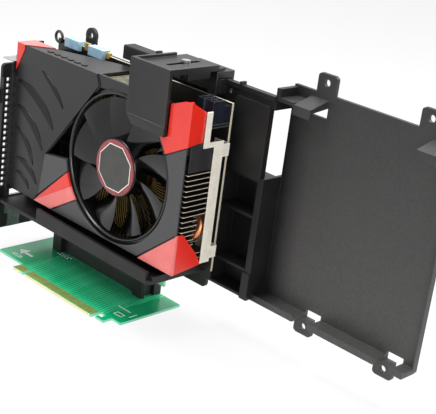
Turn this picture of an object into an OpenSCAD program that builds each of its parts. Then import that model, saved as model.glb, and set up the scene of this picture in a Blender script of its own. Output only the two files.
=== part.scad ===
// Graphics card carrier of a slim small form factor computer case.
// A moulded carrier holds a short graphics card upright on a riser board.
// Beside the card the carrier opens into a flat tray for a slim optical drive.
// X runs along the card towards the tray, Y runs away from the fan, Z is up.
// All sizes are in millimetres.

/* [Boards] */
// thickness of every circuit board
board_t = 1.6; // [1.2:0.1:2.4]
// reach of the riser board to the left of its edge fingers
riser_left = 29; // [20:1:40]
// reach of the riser board to the right of its edge fingers
riser_right = 18.8; // [17:0.5:30]
// depth of the riser board behind its finger tab
riser_depth = 52; // [50:1:70]
// depth of the finger tab of every board
tab_depth = 9; // [8:0.5:11]
// length of the finger tab of every board
tab_len = 85.2; // [80:0.1:90]
// length of the short run of fingers before the key
tab_short = 11.65; // [10:0.05:13]
// width of the key slot in the finger tab
key_w = 1.9; // [1.6:0.1:2.4]
// spacing of the edge fingers
finger_pitch = 1; // [0.9:0.05:1.1]
// width of the retaining hook on a board
hook_w = 5; // [4:0.5:7]
// length of a graphics card slot beyond the tab in it
slot_margin = 3.8; // [3:0.1:6]
// depth of a graphics card slot front to back
slot_w = 7.5; // [7:0.1:9]
// height of a graphics card slot
slot_h = 11.25; // [10.5:0.05:12]
// left end of the lower slot
slot_left = -8; // [-10:0.5:-5]
// distance of the card plane behind the front edge of the riser fingers
card_y = 50.8; // [50:0.1:52]
// shift of the upper slot to the right of the lower slot
slot_shift = 16.6; // [15:0.2:18]
// height of the underside of the upper slot
upper_slot_z = 21; // [19:0.5:24]

/* [Graphics card] */
// left edge of the graphics card board
card_left = -31.5; // [-33:0.1:-31]
// length of the graphics card board
card_len = 168.5; // [160:0.5:170]
// bottom edge of the graphics card board
card_z = 40; // [38:0.5:42]
// height of the graphics card board
card_h = 109.5; // [100:0.5:112]
// side of the processor package
chip_side = 34; // [28:1:40]
// thickness of the processor package
chip_t = 1.8; // [1.2:0.1:2.2]
// side of the heatsink base
base_side = 60; // [52:1:64]
// thickness of the heatsink base
base_t = 3; // [2:0.5:4]
// gap between the round heatsink's rim and the fan opening
heatsink_gap = 2.1; // [1:0.1:5]
// radius of the heatsink core
core_r = 16; // [12:0.5:20]
// number of blades of the round heatsink
radial_count = 54; // [36:2:72]
// spacing of the flat fins beside the fan
fin_pitch = 3.3; // [2.6:0.1:4]
// thickness of a fin
fin_t = 0.6; // [0.4:0.1:1]
// radius of a heat pipe
pipe_r = 2.5; // [2:0.1:3]
// thickness of the stiffener plate
stiffener_t = 0.8; // [0.6:0.1:1.2]
// spacing of the power sockets
socket_pitch = 4.2; // [3.8:0.1:4.6]

/* [Cooler cover] */
// left edge of the cover
cover_left = -30.5; // [-32:0.1:-30]
// length of the cover
cover_len = 169.5; // [165:0.5:170]
// bottom edge of the cover
cover_z = 45; // [43:0.5:48]
// height of the cover
cover_h = 103.5; // [98:0.5:106]
// front face of the cover
cover_y = 15; // [14.5:0.1:17]
// thickness of the panels on the front of the cover
panel_t = 1.6; // [1.2:0.1:2]
// thickness of the cover's walls
cover_wall = 1.8; // [1.4:0.1:2.4]
// place of the fan's axis along the cover, as a share of its length
fan_place_share = 0.636; // [0.6:0.001:0.66]
// height of the fan's axis in the cover, as a share of its height
fan_height_share = 0.48; // [0.46:0.001:0.5]
// radius of the fan opening, as a share of the cover's height
fan_open_share = 0.4696; // [0.44:0.0001:0.475]
// depth of the fan frame
fan_depth = 12.5; // [12:0.5:15]

/* [Fan] */
// number of fan blades
blade_count = 9; // [7:1:13]
// gap between the blade tips and the fan opening
blade_gap = 4.4; // [3:0.1:7]
// radius of the fan hub
hub_r = 18.8; // [16:0.1:22]
// width of a fan blade
blade_w = 21; // [14:0.5:24]
// tilt of a fan blade
blade_tilt = 26; // [15:1:35]
// radius of the fan shaft
shaft_r = 1.5; // [1:0.1:2.5]
// running clearance of the fan shaft
shaft_gap = 0.05; // [0.02:0.01:0.1]

/* [Slot bracket] */
// width of the slot bracket
bracket_w = 38.7; // [36:0.1:42]
// height of the slot bracket
bracket_h = 120; // [112:0.5:122]
// thickness of the slot bracket
bracket_t = 0.8; // [0.6:0.1:1.2]
// bottom of the slot bracket
bracket_z = 14; // [12:0.5:16]
// length of the bracket's top flange
flange_len = 11.4; // [10:0.1:13]

/* [Carrier] */
// thickness of the carrier's walls
wall_t = 2.4; // [2:0.1:3.2]
// reach of the carrier's end wall in front of the slot bracket
end_reach = 7.8; // [6.5:0.1:10]
// number of vents in the end wall
vent_count = 19; // [12:1:22]
// spacing of the vents in the end wall
vent_pitch = 4.2; // [3.8:0.1:5]
// front face of the back wall
back_y = 60; // [59:0.5:62]
// underside of the floor under the card
floor_z = 34.6; // [33.5:0.1:36]
// right end of the floor under the card
floor_right = 125; // [118:0.5:130]
// top of the top rail
rail_top = 159.6; // [157:0.1:163]
// right end of the pocket column
column_right = 162; // [158:0.5:166]
// spacing of the pocket ribs
pocket_step = 35.2; // [30:0.1:38]
// bottom of the upper panel
panel_z = 106; // [100:0.5:110]

/* [Drive tray] */
// length of the drive tray
tray_len = 117; // [110:0.5:130]
// bottom edge of the drive tray
tray_z = 28; // [26:0.5:32]
// height of the drive tray
tray_h = 138; // [130:0.5:140]
// depth of the drive tray in front of its back plate
tray_depth = 13; // [12.8:0.1:16]
// thickness of the tray's back plate
plate_t = 2.5; // [2:0.1:3]
// radius of the screw holes in the ears
ear_hole_r = 2.2; // [1.6:0.1:2.6]
// spacing of the two top ear holes
ear_pitch_top = 73.3; // [70:0.1:78]
// spacing of the two bottom ear holes
ear_pitch_low = 62.1; // [58:0.1:68]

/* [Card holder] */
// width of the hook
hook_plate_w = 34.5; // [30:0.5:40]
// left edge of the hook
hook_left = 86; // [82:0.5:90]
// bottom of the hook's front plate
hook_low = 128; // [124:0.5:132]
// thickness of the hook's front plate
hook_t = 2.7; // [2:0.1:3]
// thickness of the hook's arm
arm_t = 1.8; // [1.4:0.1:2.4]
// travel of the hook away from the card
hook_travel = 10; // [6:0.5:14]
// travel of the saddle to the left
saddle_left_travel = 30; // [20:1:40]
// travel of the saddle to the right
saddle_right_travel = 12; // [6:1:14]
// length of the saddle
saddle_len = 31; // [28:0.5:36]
// running clearance between sliding pieces
slide_gap = 0.3; // [0.2:0.05:0.5]

/* [Fits] */
// clearance round a board in its slot
board_gap = 0.1; // [0.05:0.01:0.2]
// clearance between a screw and its hole
screw_gap = 0.2; // [0.1:0.05:0.4]
// gap left between neighbouring curved pieces
part_gap = 0.4; // [0.3:0.05:0.6]
// radius of the small machine screws
screw_r = 1.5; // [1.2:0.1:2]
// radius of the screw heads
screw_head_r = 2.8; // [2.4:0.1:3.4]
// height of the screw heads
screw_head_h = 1.6; // [1.2:0.1:2.4]

/* [Hidden] */
// overrun of every cut through a face
over = 0.5;
// facets of a large circle
big_n = 96;
// facets of a small circle
small_n = 32;
// sides of the octagon badge
badge_n = 8;
// sides of the collar that joins the round heatsink's fins
collar_n = 12;
// depth of a finger pad on the board
pad_t = 0.05;
// share of the finger spacing that a pad covers
pad_share = 0.66;
// share of the tab depth that a pad covers
pad_len_share = 0.72;
// length of a graphics card slot
slot_len = tab_len + slot_margin;
// step of the tab's start from the slot's left end
tab_inset = slot_margin / 2;
// height of a seated tab above the bottom of its slot
seat_h = 2.9;
// half of the board thickness
half_t = board_t / 2;
// front face of the upright boards
board_front = card_y - half_t;
// back face of the upright boards
board_back = card_y + half_t;
// length of the riser board
riser_len = riser_left + tab_len + riser_right;
// back edge of the riser board
riser_back = tab_depth + riser_depth;
// left end of the upper slot
upper_left = slot_left + slot_shift;
// right edge of the graphics card board
card_right = card_left + card_len;
// top edge of the graphics card board
card_top = card_z + card_h;
// right edge of the cover
cover_right = cover_left + cover_len;
// top edge of the cover
cover_top = cover_z + cover_h;
// radius of the fan opening
fan_open_r = cover_h * fan_open_share;
// radius over the fan blades
blade_r = fan_open_r - blade_gap;
// radius of the round heatsink
heatsink_r = fan_open_r - heatsink_gap;
// face of the cover's base behind its panels
cover_base_y = cover_y + panel_t;
// back of the cover's front wall
cover_inner_y = cover_base_y + cover_wall;
// place of the fan's axis
fan_x = cover_left + cover_len * fan_place_share;
// height of the fan's axis
fan_z = cover_z + cover_h * fan_height_share;
// back of the fan frame
fan_back = cover_inner_y + fan_depth - cover_wall;
// front of the processor package
chip_front = board_front - chip_t;
// front of the heatsink base
base_front = chip_front - base_t;
// outer face of the slot bracket
bracket_x = card_left - part_gap - bracket_t - 2 * slide_gap - board_t;
// inner face of the end wall
end_x = bracket_x;
// outer face of the end wall
end_outer = end_x - wall_t;
// back edge of the slot bracket
bracket_back = board_back + bracket_t + board_t;
// front edge of the slot bracket
bracket_front = bracket_back - bracket_w;
// front edge of the carrier's end wall
end_front = bracket_front - end_reach;
// top of the slot bracket
bracket_top = bracket_z + bracket_h;
// front of the floor under the card
floor_front = end_front + 2 * part_gap + slide_gap * 3;
// left end of the front lip
lip_left = tab_short - board_t;
// height of the front lip
lip_h = 10;
// back face of the back wall
wall_back = back_y + wall_t;
// front face of the tray's back plate
plate_front = wall_back + tray_depth;
// back face of the tray
tray_back = plate_front + plate_t;
// left edge of the drive tray
tray_left = column_right;
// right edge of the drive tray
tray_right = tray_left + tray_len;
// top edge of the drive tray
tray_top = tray_z + tray_h;
// bottom of the column beside the tray
column_z = tray_z;
// left end of the pocket column
column_left = floor_right + board_t;
// left end of the top rail
rail_left = 32;
// underside of the top rail
rail_low = card_top + board_t / 2;
// front of the top rail
rail_front = 53.5;
// back of the top rail
rail_back = 63.5;
// left end of the saddle
saddle_left = 90;
// right end of the top rail's deep part
rail_right = saddle_left + saddle_len;
// height of the strip that carries the rail on towards the tray
strip_h = 3;
// underside of the saddle's roof
saddle_roof = rail_top + slide_gap;
// thickness of the saddle's roof
saddle_t = 4.5;
// front of the hook's plate
hook_front = cover_y - slide_gap - hook_t;
// underside of the hook's arm
arm_z = saddle_roof + saddle_t + slide_gap;
// height of the hook's rims
rim_h = 2;
// top of the hook's rims
hook_top = arm_z + arm_t + rim_h;
// right edge of the hook
hook_right = hook_left + hook_plate_w;
// back end of the hook's arm
arm_back = 58;
// place of the holder screw along X
holder_x = hook_left + hook_plate_w / 2;
// place of the holder screw along Y
holder_y = 41;
// middle of the whole part along X
mid_x = (end_outer - flange_len + wall_t + tray_right) / 2;
// middle of the whole part along Y
mid_y = tray_back / 2;

// outlines on the front of the cover as shares of its length and height
base_shares = [[0, 0], [0.984, 0], [0.984, 0.798], [0.894, 0.798], [0.894, 1], [0, 1]];
left_panel_shares = [[0, 0.01], [0.165, 0.01], [0.194, 0.073], [0.22, 0.356], [0.504, 0.928], [0.487, 1], [0.054, 1], [0, 0.814]];
accent_tl_shares = [[0, 0.822], [0.048, 0.972], [0.048, 1], [0, 1]];
accent_edge_shares = [[0, 0.99], [0.048, 0.99], [0.048, 1.006], [0, 1.006]];
accent_bl_shares = [[0.171, 0.01], [0.369, 0.309], [0.434, 0.164], [0.28, 0.01]];
accent_br_shares = [[0.808, 0], [0.988, 0], [0.996, 0.251]];
accent_tr_shares = [[0.832, 0.792], [0.894, 0.701], [1, 0.792], [1, 1.053], [0.956, 1.039], [0.895, 0.999], [0.895, 0.807]];
panel_r_shares = [[0.287, 0.004], [0.8, 0.004], [0.992, 0.257], [0.992, 0.778], [0.894, 0.692], [0.828, 0.787], [0.634, 0.483], [0.44, 0.162]];
panel_l_shares = [[0.22, 0.356], [0.19, 0.06], [0.366, 0.314], [0.37, 0.388]];
brow_shares = [[0.507, 0.922], [0.226, 0.362], [0.38, 0.395], [0.534, 0.483], [0.66, 0.945]];
// side faces of the right accents, as shares of the cover's depth and height
accent_br_side_shares = [[0, 0], [0.68, 0.03], [0.5, 0.12], [0.16, 0.251], [0, 0.251]];
accent_tr_side_shares = [[0, 0.792], [0.36, 0.807], [0.36, 0.985], [0, 1.053]];

// sub-part to draw, or all for the whole assembly

// a block between two corners
module block(x0, x1, y0, y1, z0, z1) {
    translate([x0, y0, z0]) cube([x1 - x0, y1 - y0, z1 - z0]);
}

// a round rod along X
module rod_x(x0, x1, y, z, r, n = small_n) {
    translate([x0, y, z]) rotate([0, 90, 0]) cylinder(h = x1 - x0, r = r, $fn = n);
}

// a round rod along Y
module rod_y(x, y0, y1, z, r, n = small_n) {
    translate([x, y0, z]) rotate([-90, 0, 0]) cylinder(h = y1 - y0, r = r, $fn = n);
}

// a round rod along Z
module rod_z(x, y, z0, z1, r, n = small_n) {
    translate([x, y, z0]) cylinder(h = z1 - z0, r = r, $fn = n);
}

// a plate that faces Y, drawn in X and Z
module plate_y(y0, y1) {
    translate([0, y1, 0]) rotate([90, 0, 0]) linear_extrude(height = y1 - y0) children();
}

// a plate that faces X, drawn in Y and Z
module plate_x(x0, x1) {
    translate([x0, 0, 0]) rotate([90, 0, 90]) linear_extrude(height = x1 - x0) children();
}

// a plate that faces Z, drawn in X and Y
module plate_z(z0, z1) {
    translate([0, 0, z0]) linear_extrude(height = z1 - z0) children();
}

// a flat rectangle between two corners
module rect(a0, a1, b0, b1) {
    translate([a0, b0]) square([a1 - a0, b1 - b0]);
}

// a flat rectangle with round corners
module round_rect(a0, a1, b0, b1, r) {
    rect(a0 + r, a1 - r, b0, b1);
    rect(a0, a1, b0 + r, b1 - r);
    for (a = [a0 + r, a1 - r]) {
        for (b = [b0 + r, b1 - r]) {
            translate([a, b]) circle(r = r, $fn = small_n);
        }
    }
}

// points on the front of the cover from shares of its size
function on_cover(shares) = [for (s = shares) [cover_left + s[0] * cover_len, cover_z + s[1] * cover_h]];

// points on the side of the cover from shares of its size
function on_side(shares) = [for (s = shares) [cover_y + s[0] * (board_front - cover_y), cover_z + s[1] * cover_h]];

// everything stands with its origin at the middle of its base
module placed() {
    translate([-mid_x, -mid_y, board_t]) children();
}

/* Carrier */

// radius of the rounded corners of the carrier
corner_r = 3;
// height of the card ear above the back wall
ear_h = 15;
// place of the card ear's hole
card_ear_x = -9.9;
// height of the card ear's hole
card_ear_z = 155.2;
// width of an ear
ear_w = 14;
// left end of the post's front leg
post_left = 74;
// width of the post
post_w = 10;
// front face of the post
post_front = 43.6;
// left leg of the carrier
leg_left = -12;
// width of the left leg
leg_w = 9;
// depth of the left leg
leg_d = 3.6;
// radius of the pegs that locate the riser board
peg_r = 1.2;
// place of the top left ear's hole along the tray
top_ear_x = 185;
// place of the bottom left ear's hole along the tray
low_ear_x = 196;
// height of a top ear's hole above the tray
top_ear_up = 6.4;
// drop of a bottom ear's hole below the tray
low_ear_down = 7.3;
// thickness of a rib
rib_t = 1.8;
// top of the window beside the tray
window_top = rail_top - 0.86 * lip_h;
// width of a clip on the tray
clip_w = 13;
// drop of a clip's sloped roof from the tray to its front
clip_drop = 4;

module end_wall() {
    difference() {
        plate_x(end_outer, end_x) {
            difference() {
                round_rect(end_front, wall_back, bracket_z - slide_gap, bracket_top - bracket_t, corner_r);
                rect(bracket_front + rib_t, board_front, bracket_z + lip_h, bracket_top - lip_h);
            }
        }
        for (i = [0 : vent_count - 1]) {
            translate([0, 0, cover_z + i * vent_pitch]) {
                block(end_outer - over, end_x + over, end_front + rib_t * 2, bracket_front - rib_t / 2, 0, vent_pitch * 0.66);
            }
        }
    }
    // flange along the front edge and the small nub on it
    block(end_x, end_x + rib_t, end_front, end_front + rib_t, bracket_z + lip_h, bracket_top - lip_h);
    block(end_outer, end_x, end_front - rib_t, end_front + over, panel_z, panel_z + lip_h);
    // bosses that carry the top flange of the bracket
    for (y = [bracket_front + lip_h, bracket_back - lip_h]) {
        difference() {
            union() {
                rod_z(end_outer - rib_t * 2, y, bracket_top - lip_h, bracket_top, screw_head_r + rib_t / 2);
                block(end_outer - rib_t * 2, end_outer + over, y - rib_t, y + rib_t, bracket_top - lip_h, bracket_top - bracket_t);
            }
            rod_z(end_outer - rib_t * 2, y, bracket_top - lip_h + rib_t, bracket_top + over, screw_r + screw_gap);
        }
    }
}

module card_floor() {
    tongue_left = upper_left - rib_t;
    tongue_right = upper_left + slot_len + lip_h;
    difference() {
        union() {
            plate_z(floor_z, floor_z + wall_t) {
                round_rect(end_x - corner_r, floor_right, floor_front, wall_back, corner_r);
            }
            plate_y(floor_front, floor_front + wall_t) {
                polygon([[lip_left, floor_z], [floor_right - corner_r, floor_z], [floor_right - corner_r, floor_z + lip_h * 0.77],
                    [lip_left, floor_z + lip_h]]);
            }
            plate_x(floor_right - wall_t, floor_right) {
                polygon([[floor_front + corner_r, floor_z], [back_y + over, floor_z], [back_y + over, floor_z + lip_h / 2],
                    [floor_front + corner_r, floor_z + lip_h / 2]]);
            }
        }
        block(tongue_left, tongue_right, card_y - slot_w / 2 - rib_t, card_y + slot_w / 2 + rib_t, floor_z - over, floor_z + lip_h);
        // room for the slot bracket against the end wall
        block(end_x, end_x + bracket_t + slide_gap, bracket_front - slide_gap, bracket_back + slide_gap, floor_z - over, floor_z + wall_t + over);
    }
}

module legs() {
    lower_gap = part_gap;
    block(leg_left, leg_left + leg_w, post_front - part_gap, post_front - part_gap + leg_d, 0, floor_z + over);
    // front and back legs of the post straddle both slots
    plate_z(0, floor_z + over) {
        difference() {
            round_rect(post_left, post_left + post_w, post_front, wall_back, rib_t);
            rect(post_left - over, post_left + post_w + over, card_y - slot_w / 2 - lower_gap, card_y + slot_w / 2 + lower_gap);
        }
    }
    // pegs into the riser board
    rod_z(leg_left + leg_w / 2, post_front - part_gap + leg_d / 2, -board_t * 0.8, over, peg_r);
    rod_z(post_left + post_w / 2, wall_back - rib_t * 1.5, -board_t * 0.8, over, peg_r);
}

module back_wall() {
    foot = corner_r * 2;
    plate_y(back_y, wall_back) {
        // wall behind the card
        round_rect(end_outer, floor_right, upper_slot_z + over, card_top - corner_r, corner_r);
        rect(floor_right - corner_r * 2, column_left + rib_t, column_z, card_top - corner_r);
        // ear on the top edge
        difference() {
            union() {
                rect(card_ear_x - ear_w * 0.36, card_ear_x + ear_w * 0.36, card_top - foot, card_ear_z);
                translate([card_ear_x, card_ear_z]) circle(r = ear_w * 0.38, $fn = small_n);
            }
            translate([card_ear_x, card_ear_z]) circle(r = ear_hole_r, $fn = small_n);
        }
        // upper panel beside the card and the wall above it with its hole
        rect(column_left - over, column_right - wall_t, panel_z, rail_top);
        difference() {
            rect(rail_right - over, column_right, card_top - corner_r - over, rail_top);
            translate([column_left - rib_t / 2, rail_top - lip_h * 0.63]) circle(r = screw_r, $fn = small_n);
            rect(column_right - wall_t, column_right + over, card_top - foot, window_top);
        }
    }
    // raised face of the upper panel
    plate_y(back_y - rib_t, back_y + over) {
        polygon([[column_left + rib_t * 2, panel_z], [column_right - wall_t, panel_z], [column_right - wall_t, window_top + rib_t],
            [column_left + corner_r * 2, window_top + rib_t], [column_left + rib_t * 2, window_top - rib_t]]);
    }
    // top rail that guides the saddle
    difference() {
        plate_x(rail_left, rail_right) {
            round_rect(rail_front, rail_back, rail_low, rail_top, rib_t / 2);
        }
        block(rail_left + rib_t, rail_right - rib_t, rail_front + rib_t, rail_back + over, rail_low - over, rail_top - wall_t);
    }
    block(rail_left, rail_right, back_y, rail_back - rib_t, card_top - corner_r - over, rail_low + over);
    block(rail_right - over, column_right, back_y - rib_t, back_y + over, rail_top - strip_h, rail_top);
    // stop ribs at both ends of the saddle's travel
    for (x = [saddle_left - saddle_left_travel - slide_gap - rib_t, saddle_left + saddle_len + saddle_right_travel + slide_gap]) {
        block(x, x + rib_t, back_y - rib_t, wall_back, rail_top - over, rail_top + rib_t);
    }
}

module pocket_column() {
    // side wall towards the tray, with its window
    difference() {
        block(column_right - wall_t, column_right, back_y, tray_back, column_z, rail_top);
        block(column_right - wall_t - over, column_right + over, back_y - over, tray_back + over, panel_z + rib_t, window_top);
    }
    // left wall and floor of the pockets
    block(column_left, column_left + rib_t, back_y, plate_front + over, column_z, panel_z);
    block(column_left, column_right - rib_t, plate_front - rib_t, plate_front + rib_t / 2, column_z, panel_z);
    // ribs between the pockets
    for (z = [column_z, column_z + pocket_step / 2, column_z + pocket_step * 1.5]) {
        block(column_left, column_right - rib_t, back_y, plate_front, z, z + rib_t);
    }
    block(column_left, column_right - rib_t, back_y, plate_front, panel_z - rib_t, panel_z + over);
    // bar on the front edge of the side wall
    block(column_right - wall_t * 2, column_right, back_y - rib_t / 2, back_y + rib_t, column_z + pocket_step / 2, panel_z + rib_t);
    block(column_right - wall_t * 2.5, column_right, back_y - rib_t, back_y + rib_t, column_z, column_z + pocket_step / 2);
}

module tray_ear(x, z, up) {
    half = ear_w / 2;
    plate_y(plate_front, tray_back) {
        difference() {
            union() {
                rect(x - half, x + half, min(z, z - up * lip_h), max(z, z - up * lip_h));
                translate([x - half + rib_t, z + up * (half - rib_t * 2.2)]) circle(r = rib_t, $fn = small_n);
                translate([x + half - rib_t, z + up * (half - rib_t * 2.2)]) circle(r = rib_t, $fn = small_n);
                rect(x - half, x + half, z - rib_t * 1.6, z + rib_t * 1.6);
                rect(x - half + rib_t, x + half - rib_t, z - half + rib_t, z + half - rib_t);
            }
            translate([x, z]) circle(r = ear_hole_r, $fn = small_n);
        }
    }
}

module tray() {
    clip_step = ear_pitch_top + ear_w;
    // the clip's roof at the tray and at its front
    roof_back = tray_top - corner_r * 1.15;
    roof_front = roof_back - clip_drop;
    difference() {
        union() {
            block(tray_left - over, tray_right, plate_front, tray_back, tray_z, tray_top);
            // low rim on the right edge and ledge along the bottom
            block(tray_right - rib_t / 2, tray_right, plate_front - rib_t, tray_back, tray_z + wall_t, tray_top);
            block(tray_left - over, tray_right, wall_back + over, plate_front + over, tray_z - over, tray_z + wall_t);
            block(tray_left - over, tray_right, wall_back + over, wall_back + rib_t, tray_z - over, tray_z + wall_t * 1.5);
            // ears with screw holes
            for (i = [0, 1]) {
                tray_ear(top_ear_x + i * ear_pitch_top, tray_top + top_ear_up, 1);
                tray_ear(low_ear_x + i * ear_pitch_low, tray_z - low_ear_down, -1);
            }
            // clips along the top edge: a sloped roof, a hanging front and two cheeks
            for (i = [0, 1]) {
                x = tray_left + clip_w + i * clip_step;
                plate_x(x, x + clip_w) {
                    polygon([[back_y, roof_front], [back_y, roof_front - rib_t], [plate_front + over, roof_back - rib_t], [plate_front + over, roof_back]]);
                    rect(back_y, back_y + rib_t, roof_front - lip_h * 0.6, roof_front - over);
                }
                for (side = [x, x + clip_w - rib_t]) {
                    plate_x(side, side + rib_t) {
                        polygon([[back_y, roof_front - over], [back_y, roof_front - rib_t * 1.4], [plate_front + over, roof_back - rib_t * 2.6],
                            [plate_front + over, roof_back - over]]);
                    }
                }
            }
        }
        // cut-outs beside the bottom ears and behind the clips
        for (i = [0, 1]) {
            translate([low_ear_x + i * ear_pitch_low, 0, 0]) {
                block(over, ear_w * 0.9, wall_back, tray_back + over, tray_z - over, tray_z + corner_r * 1.7);
            }
        }
        for (i = [0, 1]) {
            translate([tray_left + clip_w + i * clip_step, 0, 0]) {
                block(rib_t / 2, clip_w + over, plate_front - over, tray_back + over, tray_top - lip_h * 1.44, roof_back - rib_t * 2.6);
            }
        }
    }
    // shelf and upright wall between the column and the first clip
    block(tray_left - over, tray_left + clip_w, back_y, plate_front + over, rail_top - wall_t, rail_top);
    block(tray_left - over, tray_left + wall_t, back_y, plate_front + over, rail_top - over, rail_top + lip_h * 0.52);
}

module carrier() {
    color([0.24, 0.24, 0.24]) placed() {
        end_wall();
        card_floor();
        legs();
        back_wall();
        pocket_column();
        tray();
    }
}

/* Boards and slots */

// outline of a finger tab with its key and hook, its edge on zero
module tab_outline() {
    bevel = board_t / 2;
    polygon([[0, bevel], [bevel, 0], [tab_short - bevel, 0], [tab_short, bevel], [tab_short, tab_depth + over], [0, tab_depth + over]]);
    polygon([[tab_short + key_w, bevel], [tab_short + key_w + bevel, 0], [tab_len - bevel, 0], [tab_len, bevel],
        [tab_len, tab_depth + over], [tab_short + key_w, tab_depth + over]]);
    rect(tab_short - over, tab_short + key_w + over, tab_depth * 0.96, tab_depth + over);
    translate([tab_len + key_w * 1.5, board_t]) {
        difference() {
            rect(0, hook_w * 1.5, 0, tab_depth - board_t + over);
            rect(-over, hook_w * 0.6, hook_w * 0.5, tab_depth - board_t - hook_w * 0.2);
        }
    }
}

// two runs of finger pads on one face of a tab
module tab_pads() {
    for (i = [0 : floor(tab_len / finger_pitch) - 2]) {
        x = (i + 1) * finger_pitch - finger_pitch * pad_share / 2;
        in_key = x + finger_pitch > tab_short - pad_share && x < tab_short + key_w + pad_share;
        if (!in_key) {
            translate([x, board_t * 0.7]) square([finger_pitch * pad_share, tab_depth * pad_len_share]);
        }
    }
}

module slot_body(left, z) {
    key_x = left + tab_inset + tab_short + key_w / 2;
    groove = board_t / 2 + board_gap;
    difference() {
        block(left, left + slot_len, card_y - slot_w / 2, card_y + slot_w / 2, z, z + slot_h);
        block(left + tab_inset - board_gap * 2, key_x - key_w / 2 + board_gap * 2, card_y - groove, card_y + groove, z + seat_h - board_gap, z + slot_h + over);
        block(key_x + key_w / 2 - board_gap * 2, left + tab_inset + tab_len + board_gap * 2, card_y - groove, card_y + groove, z + seat_h - board_gap, z + slot_h + over);
        // contact recesses along both sides of the groove
        for (s = [-1, 1]) {
            translate([0, s * slot_w * 0.28, 0]) {
                block(left + tab_inset * 2, left + slot_len - tab_inset * 2, card_y - groove / 2, card_y + groove / 2, z + slot_h - board_t, z + slot_h + over);
            }
        }
    }
}

module riser_board() {
    color([0.1, 0.6, 0.42]) placed() {
        difference() {
            plate_z(-board_t, 0) {
                rect(-riser_left, tab_len + riser_right, tab_depth, riser_back);
                tab_outline();
            }
            // shallow step that the lower pads lie in
            block(-over, tab_len + over, board_t * 0.6, tab_depth * 0.9, -board_t - over, pad_t - board_t);
            rod_z(leg_left + leg_w / 2, post_front - part_gap + leg_d / 2, -board_t - over, over, peg_r + screw_gap);
            rod_z(post_left + post_w / 2, wall_back - rib_t * 1.5, -board_t - over, over, peg_r + screw_gap);
        }
    }
}

module riser_fingers() {
    color([0.85, 0.65, 0.25]) placed() {
        plate_z(0, pad_t) tab_pads();
        plate_z(-board_t, pad_t - board_t) tab_pads();
    }
}

module riser_slot() {
    color([0.1, 0.1, 0.1]) placed() slot_body(slot_left, 0);
}

module link_board() {
    color([0.1, 0.55, 0.4]) placed() {
        plate_y(board_front, board_back) {
            translate([slot_left + tab_inset, seat_h]) tab_outline_upright();
            rect(slot_left, post_left - rib_t, seat_h + tab_depth, upper_slot_z);
            rect(slot_left, upper_left + slot_len, slot_h + rib_t, upper_slot_z);
        }
    }
}

// the tab without its hook, for a board that stands in a slot
module tab_outline_upright() {
    intersection() {
        tab_outline();
        rect(-over, tab_len + over, -over, tab_depth + over);
    }
}

module card_slot() {
    color([0.08, 0.08, 0.08]) placed() {
        slot_body(upper_left, upper_slot_z);
        // feet on both faces of the link board
        for (x = [upper_left + lip_h, upper_left + slot_len - lip_h * 3]) {
            block(x, x + lip_h / 2, card_y - slot_w / 2, board_front, upper_slot_z - rib_t, upper_slot_z + over);
            block(x, x + lip_h / 2, board_back, card_y + slot_w / 2, upper_slot_z - rib_t, upper_slot_z + over);
        }
        // ears that carry the latch
        for (y = [card_y - slot_w / 2, card_y + slot_w / 2 - rib_t]) {
            difference() {
                block(upper_left + slot_len - over, latch_x + rib_t * 1.5, y, y + rib_t, upper_slot_z, latch_z + rib_t * 1.5);
                rod_y(latch_x, y - over, y + rib_t + over, latch_z, latch_pin_r + shaft_gap);
            }
        }
    }
}

// distance of the latch pivot from the slot's end and bottom
latch_reach = 3;
// place of the latch pivot along X
latch_x = upper_left + slot_len + latch_reach;
// height of the latch pivot
latch_z = upper_slot_z + latch_reach;
// radius of the latch pivot
latch_pin_r = 1;

module slot_latch() {
    half = slot_w / 2 - rib_t - slide_gap;
    color([0.12, 0.12, 0.12]) placed() {
        difference() {
            union() {
                rod_y(latch_x, card_y - half, card_y + half, latch_z, rib_t);
                block(latch_x - rib_t / 2, latch_x + rib_t, card_y - half, card_y + half, latch_z, upper_slot_z + slot_h + rib_t);
                block(latch_x, latch_x + rib_t * 3, card_y - half, card_y + half, upper_slot_z + slot_h - rib_t / 2, upper_slot_z + slot_h + rib_t / 2);
            }
            // groove for the hook of the card
            block(latch_x - rib_t, latch_x + over, board_front - slide_gap, board_back + slide_gap, latch_z + rib_t * 1.4, upper_slot_z + slot_h + rib_t * 2);
        }
        rod_y(latch_x, card_y - slot_w / 2, card_y + slot_w / 2, latch_z, latch_pin_r);
    }
}

/* Graphics card */

// reach of the mounting holes from the fan's axis
cooler_reach = 26;
// places of the bosses of the cover, as shares of its length and height
boss_shares = [[0.1, 0.07], [0.038, 0.918], [0.416, 0.918], [0.33, 0.05]];
// heights of the tabs of the bracket
bracket_tab_z = [44.7, 130];
// depth of the card's bracket tabs along X
bracket_tab_x = 7;
// length of a memory chip
chip_w = 12;
// width of a memory chip
chip_h = 9;
// thickness of a memory chip
chip_thick = 1.1;
// side of a coil choke
choke = 10;
// radius of a capacitor
cap_r = 3.2;
// height of a capacitor
cap_h = 7.5;
// length of a cover on the upper contacts
link_w = 16;
// spacing of the covers on the upper contacts
link_step = 25;
// reach of a cover in front of the board
link_deep = 3;

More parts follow.
